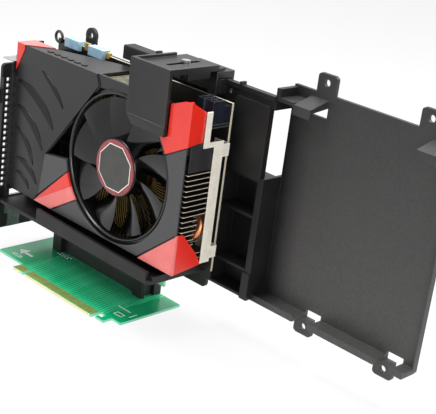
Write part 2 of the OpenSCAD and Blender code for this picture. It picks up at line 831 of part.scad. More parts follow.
module card_board() {
    tongue_drop = card_z - upper_slot_z - seat_h;
    color([0.06, 0.06, 0.06]) placed() {
        difference() {
            plate_y(board_front, board_back) {
                rect(card_left, card_right, card_z, card_top);
                translate([upper_left + tab_inset, upper_slot_z + seat_h]) tab_outline_upright();
                rect(upper_left + tab_inset, upper_left + tab_inset + tab_len, card_z - tongue_drop + tab_depth, card_z + over);
            }
            for (sx = [-1, 1]) {
                for (sz = [-1, 1]) {
                    rod_y(fan_x + sx * cooler_reach, board_front - over, board_back + over, fan_z + sz * cooler_reach, screw_r + screw_gap);
                }
            }
            for (p = on_cover(boss_shares)) {
                rod_y(p[0], board_front - over, board_back + over, p[1], screw_r + screw_gap);
            }
            for (z = bracket_tab_z) {
                rod_y(card_left + bracket_tab_x / 2, board_front - over, board_back + over, z, screw_r + screw_gap);
            }
        }
    }
}

module card_fingers() {
    color([0.85, 0.65, 0.25]) placed() {
        for (y = [board_front - pad_t, board_back]) {
            plate_y(y, y + pad_t) translate([upper_left + tab_inset, upper_slot_z + seat_h]) tab_pads();
        }
    }
}

module processor() {
    die = chip_side * 0.4;
    color([0.3, 0.35, 0.4]) placed() {
        block(fan_x - chip_side / 2, fan_x + chip_side / 2, board_front - chip_t * 0.6, board_front, fan_z - chip_side / 2, fan_z + chip_side / 2);
        block(fan_x - die / 2, fan_x + die / 2, chip_front, board_front - chip_t * 0.6, fan_z - die / 2, fan_z + die / 2);
    }
}

module memory_chips() {
    row = chip_side * 0.72;
    color([0.1, 0.1, 0.11]) placed() {
        for (i = [-1, 1]) {
            block(fan_x + i * chip_h - chip_w / 3, fan_x + i * chip_h + chip_w / 3, board_front - chip_thick, board_front, fan_z + row, fan_z + row + chip_h);
            block(fan_x + i * chip_h - chip_w / 3, fan_x + i * chip_h + chip_w / 3, board_front - chip_thick, board_front, fan_z - row - chip_h, fan_z - row);
            block(fan_x + row, fan_x + row + chip_w, board_front - chip_thick, board_front, fan_z + i * chip_h - chip_h / 3, fan_z + i * chip_h + chip_h / 3);
        }
    }
}

module coil_chokes() {
    color([0.25, 0.25, 0.27]) placed() {
        for (i = [0 : 3]) {
            translate([card_left + choke * 1.6, 0, card_z + card_h * 0.28 + i * choke * 1.5]) {
                difference() {
                    block(0, choke, board_front - choke * 0.5, board_front, 0, choke);
                    rod_y(choke / 2, board_front - choke * 0.5 - over, board_front - choke * 0.4, choke / 2, choke * 0.3);
                }
            }
        }
    }
}

module capacitors() {
    color([0.7, 0.72, 0.75]) placed() {
        for (i = [0 : 4]) {
            rod_y(card_left + card_len * 0.21, board_front - cap_h, board_front, card_z + card_h * 0.3 + i * cap_r * 3, cap_r);
        }
    }
}

module heatsink_core() {
    half = base_side / 2;
    color([0.72, 0.45, 0.28]) placed() {
        difference() {
            union() {
                block(fan_x - half, fan_x + half, base_front, chip_front, fan_z - half, fan_z + half);
                rod_y(fan_x, fan_back + part_gap * 2, base_front + over, fan_z, core_r, big_n);
                for (sx = [-1, 1]) {
                    for (sz = [-1, 1]) {
                        rod_y(fan_x + sx * cooler_reach, chip_front - over, board_front, fan_z + sz * cooler_reach, screw_r * 2);
                    }
                }
            }
            for (sx = [-1, 1]) {
                for (sz = [-1, 1]) {
                    rod_y(fan_x + sx * cooler_reach, base_front + base_t / 2, board_front + over, fan_z + sz * cooler_reach, screw_r + screw_gap / 2);
                }
            }
        }
    }
}

module radial_fins() {
    front = fan_back + part_gap * 2;
    color([0.6, 0.45, 0.25]) placed() {
        translate([fan_x, 0, fan_z]) {
            difference() {
                rod_y(0, base_front - rib_t * 1.5, base_front - rib_t / 2, 0, core_r + rib_t * 2, collar_n);
                rod_y(0, base_front - rib_t * 2, base_front + over, 0, core_r + part_gap, big_n);
            }
            for (i = [0 : radial_count - 1]) {
                rotate([0, (i + 0.5) * 360 / radial_count, 0]) block(core_r + rib_t, heatsink_r, front, base_front, -fin_t / 2, fin_t / 2);
            }
        }
    }
}

// number of flat fins beside the fan
side_fin_count = floor(cover_h * 0.7 / fin_pitch);
// left end of the flat fins
side_fin_left = fan_x + core_r;
// right end of the flat fins
side_fin_right = cover_right - stiffener_t * 2;

// room for the fan frame and the round heatsink
module round_room() {
    rod_y(fan_x, cover_inner_y - over * 4, board_front, fan_z, fan_open_r + part_gap, big_n);
}

module side_fins() {
    color([0.62, 0.6, 0.56]) placed() {
        difference() {
            union() {
                for (i = [0 : side_fin_count]) {
                    z = cover_z + cover_h * 0.03 + i * fin_pitch;
                    block(side_fin_left, side_fin_right, cover_inner_y, base_front - part_gap, z, z + fin_t);
                }
                // spine that joins the flat fins
                block(cover_right - lip_h, side_fin_right - rib_t, base_front - rib_t, base_front - part_gap, cover_z + cover_h * 0.03,
                    cover_z + cover_h * 0.03 + side_fin_count * fin_pitch + fin_t);
                block(cover_right - lip_h, side_fin_right - rib_t, pipe_front - pipe_r * 2, pipe_front - pipe_r - part_gap * 2,
                    cover_z + cover_h * 0.03, cover_z + cover_h * 0.03 + side_fin_count * fin_pitch + fin_t);
            }
            round_room();
            // the room that the bends of the heat pipes take up
            for (z = pipe_z) {
                block(side_fin_left, side_fin_right + over, pipe_front - pipe_r - part_gap,
                    pipe_back + pipe_r + part_gap, z - pipe_r - part_gap, z + pipe_r + part_gap);
            }
            // screw bosses and corner of the cover
            block(side_fin_left - over, cover_left + cover_len * 0.9, cover_inner_y - over, board_front, cover_z - over, cover_z + cover_wall + part_gap);
        }
    }
}

// radius of the bend of the heat pipes
pipe_bend = 4.8;
// front leg of the heat pipes
pipe_front = base_front - part_gap - pipe_bend * 2 - pipe_r * 1.2;
// back leg of the heat pipes
pipe_back = pipe_front + pipe_bend * 2;
// heights of the heat pipes
pipe_z = [cover_z + cover_h * 0.195, cover_z + cover_h * 0.285];

// left end of the legs of a heat pipe, at the rim of the round heatsink
function pipe_left(z) = fan_x + sqrt(pow(heatsink_r + part_gap * 2, 2) - pow(fan_z - z - pipe_r, 2));

module heat_pipes() {
    bend_x = side_fin_right - pipe_bend - pipe_r;
    color([0.85, 0.5, 0.3]) placed() {
        for (z = pipe_z) {
            translate([bend_x, pipe_front + pipe_bend, z]) rotate([0, 0, -90]) {
                rotate_extrude(angle = 180, $fn = big_n) translate([pipe_bend, 0]) circle(r = pipe_r, $fn = small_n);
                for (s = [-1, 1]) {
                    translate([s * pipe_bend, 0, 0]) rotate([90, 0, 0]) cylinder(h = bend_x - pipe_left(z), r = pipe_r, $fn = small_n);
                }
            }
        }
    }
}

module cooler_screws() {
    color([0.75, 0.75, 0.78]) placed() {
        for (sx = [-1, 1]) {
            for (sz = [-1, 1]) {
                x = fan_x + sx * cooler_reach;
                z = fan_z + sz * cooler_reach;
                rod_y(x, base_front + base_t * 0.7, board_back + over, z, screw_r);
                rod_y(x, board_back, board_back + screw_head_h, z, screw_head_r);
            }
        }
    }
}

module stiffener_plate() {
    right = cover_right + stiffener_t / 2;
    left = right - stiffener_t;
    deep = board_front - cover_y;
    foot_left = max(card_right - lip_h, fan_x + cooler_reach + screw_r * 2 + part_gap);
    color([0.78, 0.76, 0.7]) placed() {
        plate_x(left, right) {
            rect(cover_y + deep * 0.63, cover_y + deep * 0.85, cover_z + cover_h * 0.04, cover_z + cover_h * 0.8);
            rect(cover_y + deep * 0.37, cover_y + deep * 0.85, cover_z + cover_h * 0.77, cover_z + cover_h * 0.8);
            rect(cover_y + deep * 0.37, cover_y + deep * 0.5, cover_z + cover_h * 0.77, cover_z + cover_h * 0.985);
            for (z = [cover_h * 0.06, cover_h * 0.7]) {
                rect(cover_y + deep * 0.8, board_front, cover_z + z, cover_z + z + lip_h * 0.8);
            }
        }
        // feet that lie on the card
        for (z = [cover_h * 0.06, cover_h * 0.7]) {
            block(foot_left, right, board_front - stiffener_t, board_front, cover_z + z, cover_z + z + lip_h * 0.8);
        }
    }
}

// right face of the power connector
power_right = cover_right - stiffener_t;
// bottom of the power connector
power_z = cover_z + cover_h * 0.9024;
// front of the power connector
power_front = 33;
// wall of the power connector
power_wall = 1.2;
// size of the power connector along X
power_len = socket_pitch * 3 + power_wall;
// size of the power connector along Y
power_deep = socket_pitch * 2 + power_wall;
// height of the power connector
power_h = 14;

module power_connector() {
    left = power_right - power_len;
    color([0.07, 0.08, 0.12]) placed() {
        difference() {
            union() {
                block(left, power_right, power_front, power_front + power_deep, power_z, power_z + power_h);
                block(left + power_wall, power_right - power_wall, power_front + power_deep - over, board_front, power_z, power_z + power_h * 0.7);
            }
            for (i = [0 : 2]) {
                for (j = [0 : 1]) {
                    translate([left + power_wall + i * socket_pitch, power_front + power_wall + j * socket_pitch, power_z + power_wall]) {
                        cube([socket_pitch - power_wall, socket_pitch - power_wall, power_h]);
                    }
                    translate([left + power_wall / 2 + (i + 0.5) * socket_pitch, power_front + power_wall / 2 + (j + 0.5) * socket_pitch, power_z - over]) {
                        cylinder(h = power_wall + over * 2, r = pin_w, $fn = small_n);
                    }
                }
            }
            // latch notch on the front face
            block(left + power_len * 0.4, left + power_len * 0.6, power_front - over, power_front + power_wall / 2, power_z + power_h * 0.3, power_z + power_h + over);
        }
    }
}

// width of a power pin
pin_w = 0.9;

module power_pins() {
    left = power_right - power_len;
    color([0.8, 0.78, 0.72]) placed() {
        for (i = [0 : 2]) {
            for (j = [0 : 1]) {
                x = left + power_wall / 2 + (i + 0.5) * socket_pitch;
                y = power_front + power_wall / 2 + (j + 0.5) * socket_pitch;
                drop = pin_w * (4 - j * 2);
                block(x - pin_w / 2, x + pin_w / 2, y - pin_w / 2, y + pin_w / 2, power_z - drop, power_z + power_h * 0.7);
                block(x - pin_w / 2, x + pin_w / 2, y - pin_w / 2, board_front, power_z - drop, power_z - drop + pin_w);
            }
        }
    }
}

module link_caps() {
    color([0.66, 0.81, 0.91]) placed() {
        for (i = [0, 1]) {
            x = card_left + lip_h + i * link_step;
            difference() {
                block(x, x + link_w, board_front - link_deep, board_back + link_deep / 2, card_top - link_deep * 1.2, card_top + link_deep * 1.1);
                block(x - over, x + link_w + over, board_front, board_back, card_top - link_deep * 2, card_top);
            }
        }
    }
}

/* Cover of the cooler */

// back edge of the cover's top wall at its left end
top_back_left = 29.5;
// back edge of the cover's top wall at its right end
top_back_right = 48.4;
// share of the cover's length that the top wall spans
top_share = 0.495;

module cover_shell() {
    inner = cover_base_y + cover_wall;
    color([0.27, 0.27, 0.28]) placed() {
        difference() {
            union() {
                plate_y(cover_base_y, inner) polygon(on_cover(base_shares));
                plate_y(cover_y + panel_t * 0.3, cover_base_y + over) polygon(on_cover(left_panel_shares));
                // top wall with its slanted back edge
                plate_z(cover_top - cover_wall, cover_top) {
                    polygon([[cover_left, cover_base_y], [cover_left + cover_len * top_share, cover_base_y],
                        [cover_left + cover_len * top_share, top_back_right], [cover_left + cover_len * 0.43, top_back_right],
                        [cover_left + cover_len * 0.13, top_back_left], [cover_left, top_back_left]]);
                }
                // left and bottom walls
                block(cover_left, cover_left + cover_wall, cover_base_y, top_back_right - lip_h * 1.3, cover_z, cover_top);
                block(cover_left, cover_left + cover_len * 0.8, cover_base_y, top_back_right - lip_h / 2, cover_z, cover_z + cover_wall);
                // block above the flat fins
                block(cover_right - lip_h, side_fin_right, cover_base_y, top_back_right - lip_h, cover_z + cover_h * 0.74, cover_z + cover_h * 0.79);
                block(side_fin_right - cover_wall, side_fin_right, cover_base_y, top_back_right - lip_h, cover_z + cover_h * 0.735, cover_z + cover_h * 0.79);
                // bosses for the screws from the back of the card
                for (p = on_cover(boss_shares)) {
                    rod_y(p[0], cover_base_y + over, board_front, p[1], screw_r * 2);
                }
            }
            rod_y(fan_x, cover_base_y - part_gap / 2, board_front, fan_z, fan_open_r + part_gap, big_n);
            plate_y(cover_y - over, inner + over) polygon(on_cover(brow_shares));
            for (p = on_cover(boss_shares)) {
                rod_y(p[0], board_front - lip_h, board_front + over, p[1], screw_r + screw_gap / 2);
            }
        }
    }
}

module cover_screws() {
    color([0.75, 0.75, 0.78]) placed() {
        for (p = on_cover(boss_shares)) {
            rod_y(p[0], board_front - lip_h * 0.8, board_back + over, p[1], screw_r);
            rod_y(p[0], board_back, board_back + screw_head_h, p[1], screw_head_r);
        }
    }
}

module accent_top_left() {
    color([0.95, 0.27, 0.22]) placed() {
        plate_y(cover_y, cover_base_y - panel_t * 0.7) polygon(on_cover(accent_tl_shares));
        plate_z(cover_top, cover_top + panel_t * 0.4) {
            polygon([[cover_left, cover_y], [cover_left + cover_len * 0.048, cover_y], [cover_left + cover_len * 0.134, top_back_left],
                [cover_left, top_back_left]]);
        }
        plate_y(cover_y, cover_y + panel_t * 0.3) polygon(on_cover(accent_edge_shares));
    }
}

module accent_bottom_left() {
    color([0.95, 0.27, 0.22]) placed() {
        difference() {
            plate_y(cover_y, cover_base_y) polygon(on_cover(accent_bl_shares));
            rod_y(fan_x, cover_y - over, cover_base_y + over, fan_z, fan_open_r + part_gap, big_n);
            plate_y(cover_y - over, cover_base_y + over) polygon(on_cover(left_panel_shares));
        }
    }
}

module accent_top_right() {
    color([0.95, 0.27, 0.22]) placed() {
        difference() {
            plate_y(cover_y, cover_base_y) polygon(on_cover(accent_tr_shares));
            rod_y(fan_x, cover_y - over, cover_base_y + over, fan_z, fan_open_r + part_gap, big_n);
        }
        plate_x(cover_right - stiffener_t, cover_right - stiffener_t / 2) polygon(on_side(accent_tr_side_shares));
        plate_x(cover_right - panel_t, cover_right) {
            rect(cover_y, cover_base_y, cover_z + cover_h * 0.792, cover_z + cover_h * 1.053);
        }
    }
}

module accent_bottom_right() {
    color([0.95, 0.27, 0.22]) placed() {
        plate_y(cover_y, cover_base_y) polygon(on_cover(accent_br_shares));
        plate_x(cover_right - stiffener_t * 2, cover_right - stiffener_t) polygon(on_side(accent_br_side_shares));
    }
}

module panel_left() {
    color([0.36, 0.36, 0.38]) placed() {
        difference() {
            plate_y(cover_y + panel_t * 0.2, cover_base_y) polygon(on_cover(panel_l_shares));
            plate_y(cover_y - over, cover_base_y + over) {
                polygon(on_cover(left_panel_shares));
                polygon(on_cover(accent_bl_shares));
            }
            rod_y(fan_x, cover_y - over, cover_base_y + over, fan_z, fan_open_r + part_gap, big_n);
        }
    }
}

module panel_right() {
    color([0.36, 0.36, 0.38]) placed() {
        difference() {
            plate_y(cover_y + panel_t * 0.2, cover_base_y) polygon(on_cover(panel_r_shares));
            rod_y(fan_x, cover_y - over, cover_base_y + over, fan_z, fan_open_r + part_gap, big_n);
            plate_y(cover_y - over, cover_base_y + over) {
                polygon(on_cover(accent_bl_shares));
                polygon(on_cover(accent_br_shares));
                polygon(on_cover(accent_tr_shares));
            }
        }
    }
}

/* Fan */

// wall of the fan ring
ring_wall = 1.6;
// radius of the fan motor
motor_r = 15;
// thickness of the fan's back struts
strut_t = 2;
// front of the fan's back struts
strut_front = fan_back - strut_t;
// number of struts
strut_count = 4;

module fan_frame() {
    color([0.1, 0.1, 0.11]) placed() {
        translate([fan_x, 0, fan_z]) {
            difference() {
                rod_y(0, cover_base_y, fan_back, 0, fan_open_r, big_n);
                rod_y(0, cover_base_y - over, fan_back + over, 0, fan_open_r - ring_wall, big_n);
            }
            for (i = [0 : strut_count - 1]) {
                rotate([0, 20 + i * 360 / strut_count, 0]) block(motor_r - rib_t, fan_open_r - ring_wall / 2, strut_front, fan_back, -rib_t, rib_t);
            }
            difference() {
                rod_y(0, strut_front, fan_back, 0, motor_r, big_n);
                rod_y(0, strut_front - over, fan_back - rib_t / 2, 0, shaft_r * 3 + part_gap, small_n);
            }
        }
    }
}

module fan_stator() {
    color([0.75, 0.5, 0.3]) placed() {
        translate([fan_x, 0, fan_z]) {
            difference() {
                union() {
                    rod_y(0, cover_base_y + rib_t * 2, fan_back - rib_t / 2, 0, shaft_r * 3, small_n);
                    for (i = [0 : 3]) {
                        rotate([0, 45 + i * 90, 0]) block(shaft_r * 2.5, motor_r * 0.75, cover_base_y + rib_t * 2, strut_front, -rib_t, rib_t);
                    }
                }
                rod_y(0, cover_base_y, fan_back - rib_t, 0, shaft_r + shaft_gap, small_n);
            }
        }
    }
}

module fan_rotor() {
    hub_front = cover_y + panel_t * 0.5;
    blade_front = cover_base_y + rib_t / 2;
    blade_back = strut_front - part_gap;
    blade_mid = (blade_front + blade_back) / 2;
    color([0.2, 0.2, 0.21]) placed() {
        translate([fan_x, 0, fan_z]) {
            difference() {
                rod_y(0, hub_front, blade_back, 0, hub_r, big_n);
                rod_y(0, hub_front + rib_t, blade_back + over, 0, hub_r - rib_t, big_n);
                rod_y(0, hub_front - over, hub_front + rib_t + over, 0, shaft_r, small_n);
            }
            // blades, each a bent strip tilted about its own radius
            intersection() {
                difference() {
                    rod_y(0, blade_front, blade_back, 0, blade_r, big_n);
                    rod_y(0, blade_front - over, blade_back + over, 0, hub_r - rib_t / 2, big_n);
                }
                for (i = [0 : blade_count - 1]) {
                    rotate([0, i * 360 / blade_count, 0]) translate([hub_r - rib_t, blade_mid, 0]) rotate([blade_tilt, 0, 0]) {
                        block(0, blade_r - hub_r + rib_t * 2, -fin_t, fin_t, -blade_w / 2, blade_w / 2);
                    }
                }
            }
        }
    }
}

module fan_shaft() {
    color([0.8, 0.8, 0.82]) placed() {
        rod_y(fan_x, cover_y + panel_t * 0.5, fan_back - rib_t * 1.4, fan_z, shaft_r, small_n);
    }
}

module hub_badge() {
    color([0.25, 0.25, 0.26]) placed() {
        translate([fan_x, 0, fan_z]) {
            rod_y(0, cover_y + panel_t * 0.2, cover_y + panel_t * 0.5, 0, hub_r * 0.94, big_n);
            rotate([0, 180 / badge_n, 0]) rod_y(0, cover_y, cover_y + panel_t * 0.3, 0, hub_r * 0.84, badge_n);
        }
    }
}

/* Bracket and sockets */

// places of the display sockets, as shares of the bracket height
socket_low_share = [0.3, 0.62, 0.77];
// heights of the display sockets
socket_high = [37, 15, 16];
// depths of the display sockets
socket_deep = [9.5, 5.6, 5];

module slot_bracket() {
    inner = bracket_x + bracket_t;
    mid = (bracket_front + board_front) / 2;
    color([0.78, 0.78, 0.8]) placed() {
        difference() {
            plate_x(bracket_x, inner) {
                rect(bracket_front, bracket_back, bracket_z + lip_h, bracket_top);
                for (y = [bracket_front + corner_r, mid + lip_h * 0.6]) {
                    rect(y, y + lip_h, bracket_z, bracket_z + lip_h + over);
                }
            }
            for (i = [0 : 2]) {
                z = bracket_z + bracket_h * socket_low_share[i];
                block(bracket_x - over, inner + over, board_front - over - socket_deep[i] - screw_gap, board_front - over + screw_gap, z - screw_gap, z + socket_high[i] + screw_gap);
            }
            // vent slots in front of the sockets
            for (i = [0 : 11]) {
                z = bracket_z + bracket_h * 0.2 + i * rib_t * 4;
                block(bracket_x - over, inner + over, bracket_front + corner_r, mid, z, z + rib_t * 2.4);
            }
        }
        // top flange with its two screw notches
        difference() {
            block(bracket_x - flange_len, inner, bracket_front, bracket_back, bracket_top, bracket_top + bracket_t);
            for (y = [bracket_front + lip_h, bracket_back - lip_h]) {
                rod_z(end_outer - rib_t * 2, y, bracket_top - over, bracket_top + bracket_t + over, screw_r + screw_gap);
            }
        }
        // tabs behind the card
        for (z = bracket_tab_z) {
            difference() {
                block(bracket_x, card_left + bracket_tab_x, board_back, board_back + bracket_t, z - bracket_tab_x / 2, z + bracket_tab_x / 2);
                rod_y(card_left + bracket_tab_x / 2, board_back - over, board_back + bracket_t + over, z, screw_r + screw_gap);
            }
        }
    }
}

module display_sockets() {
    color([0.1, 0.1, 0.12]) placed() {
        for (i = [0 : 2]) {
            z = bracket_z + bracket_h * socket_low_share[i];
            high = socket_high[i];
            deep = socket_deep[i];
            difference() {
                union() {
                    block(end_outer + rib_t / 2, card_left + lip_h, board_front - over - deep, board_front - over, z, z + high);
                    block(card_left + part_gap, card_left + lip_h, board_front - over * 2, board_front, z, z + high);
                }
                block(end_outer, card_left - part_gap, board_front - over - deep + rib_t / 2, board_front - over - rib_t / 2, z + rib_t / 2, z + high - rib_t / 2);
            }
        }
    }
}

module bracket_screws() {
    color([0.7, 0.7, 0.72]) placed() {
        for (z = bracket_tab_z) {
            rod_y(card_left + bracket_tab_x / 2, board_front - rib_t / 2, board_back + bracket_t + over, z, screw_r);
            rod_y(card_left + bracket_tab_x / 2, board_back + bracket_t, board_back + bracket_t + screw_head_h, z, screw_head_r);
        }
        for (y = [bracket_front + lip_h, bracket_back - lip_h]) {
            rod_z(end_outer - rib_t * 2, y, bracket_top - lip_h * 0.6, bracket_top + bracket_t + over, screw_r);
            rod_z(end_outer - rib_t * 2, y, bracket_top + bracket_t, bracket_top + bracket_t + screw_head_h, screw_head_r);
        }
    }
}

/* Card holder */

// right end of the saddle
saddle_right = saddle_left + saddle_len;
// thickness of the saddle's cheeks
cheek_t = 2.2;
// half of the holder tongue's width
tongue_half = 7;
// reach of the saddle's tongue in front of the screw
tongue_reach = 6;
// front of the saddle's tongue
tongue_front = holder_y - tongue_reach;

module holder_saddle() {
    top = saddle_roof + saddle_t;
    front = rail_front - slide_gap;
    back = rail_back + slide_gap;
    color([0.22, 0.22, 0.22]) placed() {
        difference() {
            union() {
                block(saddle_left, saddle_right, front - cheek_t, back + cheek_t, saddle_roof, top);
                block(saddle_left, saddle_right, front - cheek_t, front, saddle_roof - cheek_t * 2.6, saddle_roof + over);
                block(saddle_left, saddle_right, back, back + cheek_t, saddle_roof - cheek_t * 2.6, saddle_roof + over);
                // tongue that the arm is screwed to, with its boss
                block(holder_x - tongue_half, holder_x + tongue_half, tongue_front, front, saddle_roof, top);
                block(holder_x - tongue_half, holder_x - tongue_half + rib_t, tongue_front, front, saddle_roof - cheek_t, saddle_roof + over);
                block(holder_x + tongue_half - rib_t, holder_x + tongue_half, tongue_front, front, saddle_roof - cheek_t, saddle_roof + over);
                rod_z(holder_x, holder_y, saddle_roof - cheek_t * 1.5, saddle_roof + over, screw_r * 2.2);
                // finger grip at the right end
                block(saddle_right - lip_h * 0.7, saddle_right, front - cheek_t, front, saddle_roof - lip_h, saddle_roof);
            }
            rod_z(holder_x, holder_y, saddle_roof - cheek_t * 2, top + over, screw_r + screw_gap / 2);
        }
    }
}

module holder_hook() {
    chamfer = lip_h * 0.6;
    rim = wall_t * 0.8;
    hole_half = screw_r + screw_gap;
    slot_front = holder_y - lip_h * 1.4;
    slot_back = holder_y + hook_travel;
    color([0.25, 0.25, 0.25]) placed() {
        difference() {
            union() {
                plate_y(hook_front, hook_front + hook_t) {
                    polygon([[hook_left + chamfer, hook_low], [hook_right, hook_low], [hook_right, hook_top], [hook_left, hook_top],
                        [hook_left, hook_low + chamfer]]);
                }
                block(hook_left, hook_right, hook_front, arm_back, arm_z, arm_z + arm_t);
                block(hook_left, hook_left + rim, hook_front, arm_back - lip_h, arm_z, hook_top);
                block(hook_right - rim, hook_right, hook_front, arm_back - lip_h * 0.55, arm_z, hook_top);
                // rib under the right edge of the arm
                block(hook_right - rim, hook_right, hook_front + lip_h * 1.5, holder_y + lip_h * 0.45, arm_z - lip_h * 0.4, arm_z + over);
            }
            // slot for the holder screw
            plate_z(arm_z - over, arm_z + arm_t + over) {
                rect(holder_x - hole_half, holder_x + hole_half, slot_front, slot_back);
                translate([holder_x, slot_front]) circle(r = hole_half, $fn = small_n);
                translate([holder_x, slot_back]) circle(r = hole_half, $fn = small_n);
            }
            // shallow recess that leaves the raised edge on the front plate
            block(hook_left + rim, hook_right + over, hook_front - over, hook_front + slide_gap, hook_low + chamfer, hook_top - rim);
        }
    }
}

module holder_screw() {
    color([0.75, 0.75, 0.78]) placed() {
        rod_z(holder_x, holder_y, saddle_roof - cheek_t, arm_z + arm_t + slide_gap + over, screw_r);
        rod_z(holder_x, holder_y, arm_z + arm_t + slide_gap / 2, arm_z + arm_t + slide_gap / 2 + screw_head_h, screw_head_r);
    }
}

carrier();
riser_board();
riser_fingers();
riser_slot();
link_board();
card_slot();
slot_latch();
card_board();
card_fingers();
processor();
memory_chips();
coil_chokes();
capacitors();
heatsink_core();
radial_fins();
side_fins();
heat_pipes();
cooler_screws();
stiffener_plate();
power_connector();
power_pins();
link_caps();
cover_shell();
accent_top_left();
accent_bottom_left();
accent_top_right();
accent_bottom_right();
panel_left();
panel_right();
cover_screws();
fan_frame();
fan_stator();
fan_rotor();
fan_shaft();
hub_badge();
slot_bracket();
display_sockets();
bracket_screws();
holder_saddle();
holder_hook();
holder_screw();
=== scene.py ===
"""Dresses the graphics card carrier: finishes, fan, cooler fins, red accents, riser details, light and camera."""

import math

import bmesh
import bpy
import numpy as np
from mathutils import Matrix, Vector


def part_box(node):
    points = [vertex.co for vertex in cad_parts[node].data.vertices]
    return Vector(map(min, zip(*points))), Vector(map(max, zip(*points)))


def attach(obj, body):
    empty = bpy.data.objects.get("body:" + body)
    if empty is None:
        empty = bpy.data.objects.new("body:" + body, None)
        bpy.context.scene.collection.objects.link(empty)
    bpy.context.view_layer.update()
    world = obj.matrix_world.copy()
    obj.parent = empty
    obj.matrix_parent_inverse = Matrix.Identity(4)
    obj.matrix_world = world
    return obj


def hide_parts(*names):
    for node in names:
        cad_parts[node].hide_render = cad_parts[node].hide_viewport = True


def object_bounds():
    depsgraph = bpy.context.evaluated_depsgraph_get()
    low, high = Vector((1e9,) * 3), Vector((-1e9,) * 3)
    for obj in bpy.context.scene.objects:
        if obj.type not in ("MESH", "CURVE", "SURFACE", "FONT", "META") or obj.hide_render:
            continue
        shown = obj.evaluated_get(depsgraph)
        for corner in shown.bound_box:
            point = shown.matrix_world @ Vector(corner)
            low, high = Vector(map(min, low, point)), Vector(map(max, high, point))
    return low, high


bl_info = {
    "name": "Graphics Card Carrier Finishes",
    "version": (1, 0, 0),
    "blender": (4, 5, 0),
    "location": "View3D > Sidebar > Carrier",
    "description": "Dresses a moulded graphics card carrier with its fan, card, riser and drive tray",
    "category": "Object",
}

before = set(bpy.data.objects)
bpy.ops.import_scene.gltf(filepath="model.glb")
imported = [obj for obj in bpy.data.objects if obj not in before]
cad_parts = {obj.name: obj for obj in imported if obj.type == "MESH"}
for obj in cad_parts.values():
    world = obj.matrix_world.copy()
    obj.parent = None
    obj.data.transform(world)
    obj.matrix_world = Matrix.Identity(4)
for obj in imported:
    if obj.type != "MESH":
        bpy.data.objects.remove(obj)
CAD_BOX = [list(corner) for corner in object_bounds()]
MM = 0.001

# the drawing's zero lies on top of the riser board, at the left front corner of its finger tab
RISER_REACH = 29.0
RISER = np.array(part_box("riser_board")) / MM
ZERO = np.array([RISER[0, 0] + RISER_REACH, RISER[0, 1], RISER[1, 2]])


def corners(node):
    """Lowest and highest corner of a CAD node, in the drawing's millimetres."""
    return np.array(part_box(node)) / MM - ZERO


COVER = corners("cover_shell")
COVER_FRONT, COVER_TOP = COVER[0, 1], COVER[1, 2]
FAN = corners("fan_frame")
FAN_X, FAN_Z = FAN[:, 0].mean(), FAN[:, 2].mean()
FAN_R = (FAN[1, 0] - FAN[0, 0]) / 2
RING_BACK = FAN[1, 1]
ROTOR = corners("fan_rotor")
HUB_FRONT, BLADE_BACK = ROTOR[:, 1]
BLADE_FRONT = COVER_FRONT + 1.6
BLADE_R = (ROTOR[1, 0] - ROTOR[0, 0]) / 2
BADGE = corners("hub_badge")
BADGE_FRONT = BADGE[0, 1]
BADGE_SHARE = 0.94
HUB_R = (BADGE[1, 0] - BADGE[0, 0]) / 2 / BADGE_SHARE
# in the row frame: left end of the drive tray, and top of the whole carrier
TRAY_LEFT = 46.0
ROW_TOP = CAD_BOX[1][2] / MM


def from_drawing(x, y, z):
    """Points of the drawing in the row frame's millimetres."""
    return np.stack(np.broadcast_arrays(x, y, z), axis=-1) + ZERO


def paint(code):
    """An sRGB hex colour as linear red, green, blue and alpha."""
    srgb = np.array([int(code[i : i + 2], 16) for i in (1, 3, 5)]) / 255.0
    linear = np.where(srgb <= 0.04045, srgb / 12.92, ((srgb + 0.055) / 1.055) ** 2.4)
    return (*linear.tolist(), 1.0)


def cells(size_mm):
    """The scale of a texture whose cells are size_mm across."""
    return 1.0 / (size_mm * MM)


def add_node(tree, kind, inputs=None, **settings):
    """Adds a shader node with its properties set. Each input, by name or number, takes a value or a socket's link."""
    made = tree.nodes.new(kind)
    for key, value in settings.items():
        setattr(made, key, value)
    for key, value in (inputs or {}).items():
        if isinstance(value, bpy.types.NodeSocket):
            tree.links.new(value, made.inputs[key])
        else:
            made.inputs[key].default_value = value
    return made


def new_finish(name, **surface):
    """A material with one Principled surface, its tree and that surface. One that exists comes back without them."""
    made = bpy.data.materials.get(name)
    if made is not None:
        return made, None, None
    made = bpy.data.materials.new(name)
    made.use_nodes = True
    tree = made.node_tree
    shader = tree.nodes["Principled BSDF"]
    for key, value in surface.items():
        shader.inputs[key.replace("_", " ")].default_value = value
    return made, tree, shader


def mottled(tree, shader, low, high, cloud_mm, spread=(0.35, 0.65)):
    """Colour drifts between two shades, hex codes or settings, in clouds of the given size.
    Gives the object's coordinates and the colour."""
    place = add_node(tree, "ShaderNodeTexCoord").outputs["Object"]
    clouds = add_node(tree, "ShaderNodeTexNoise", {"Vector": place, "Scale": cells(cloud_mm), "Detail": 3.0})
    ramp = add_node(tree, "ShaderNodeValToRGB", {"Fac": clouds.outputs["Fac"]})
    for stop, position, color in zip(ramp.color_ramp.elements, spread, (low, high)):
        stop.position = position
        stop.color = paint(color) if isinstance(color, str) else color
    tree.links.new(ramp.outputs["Color"], shader.inputs["Base Color"])
    return place, ramp.outputs["Color"]


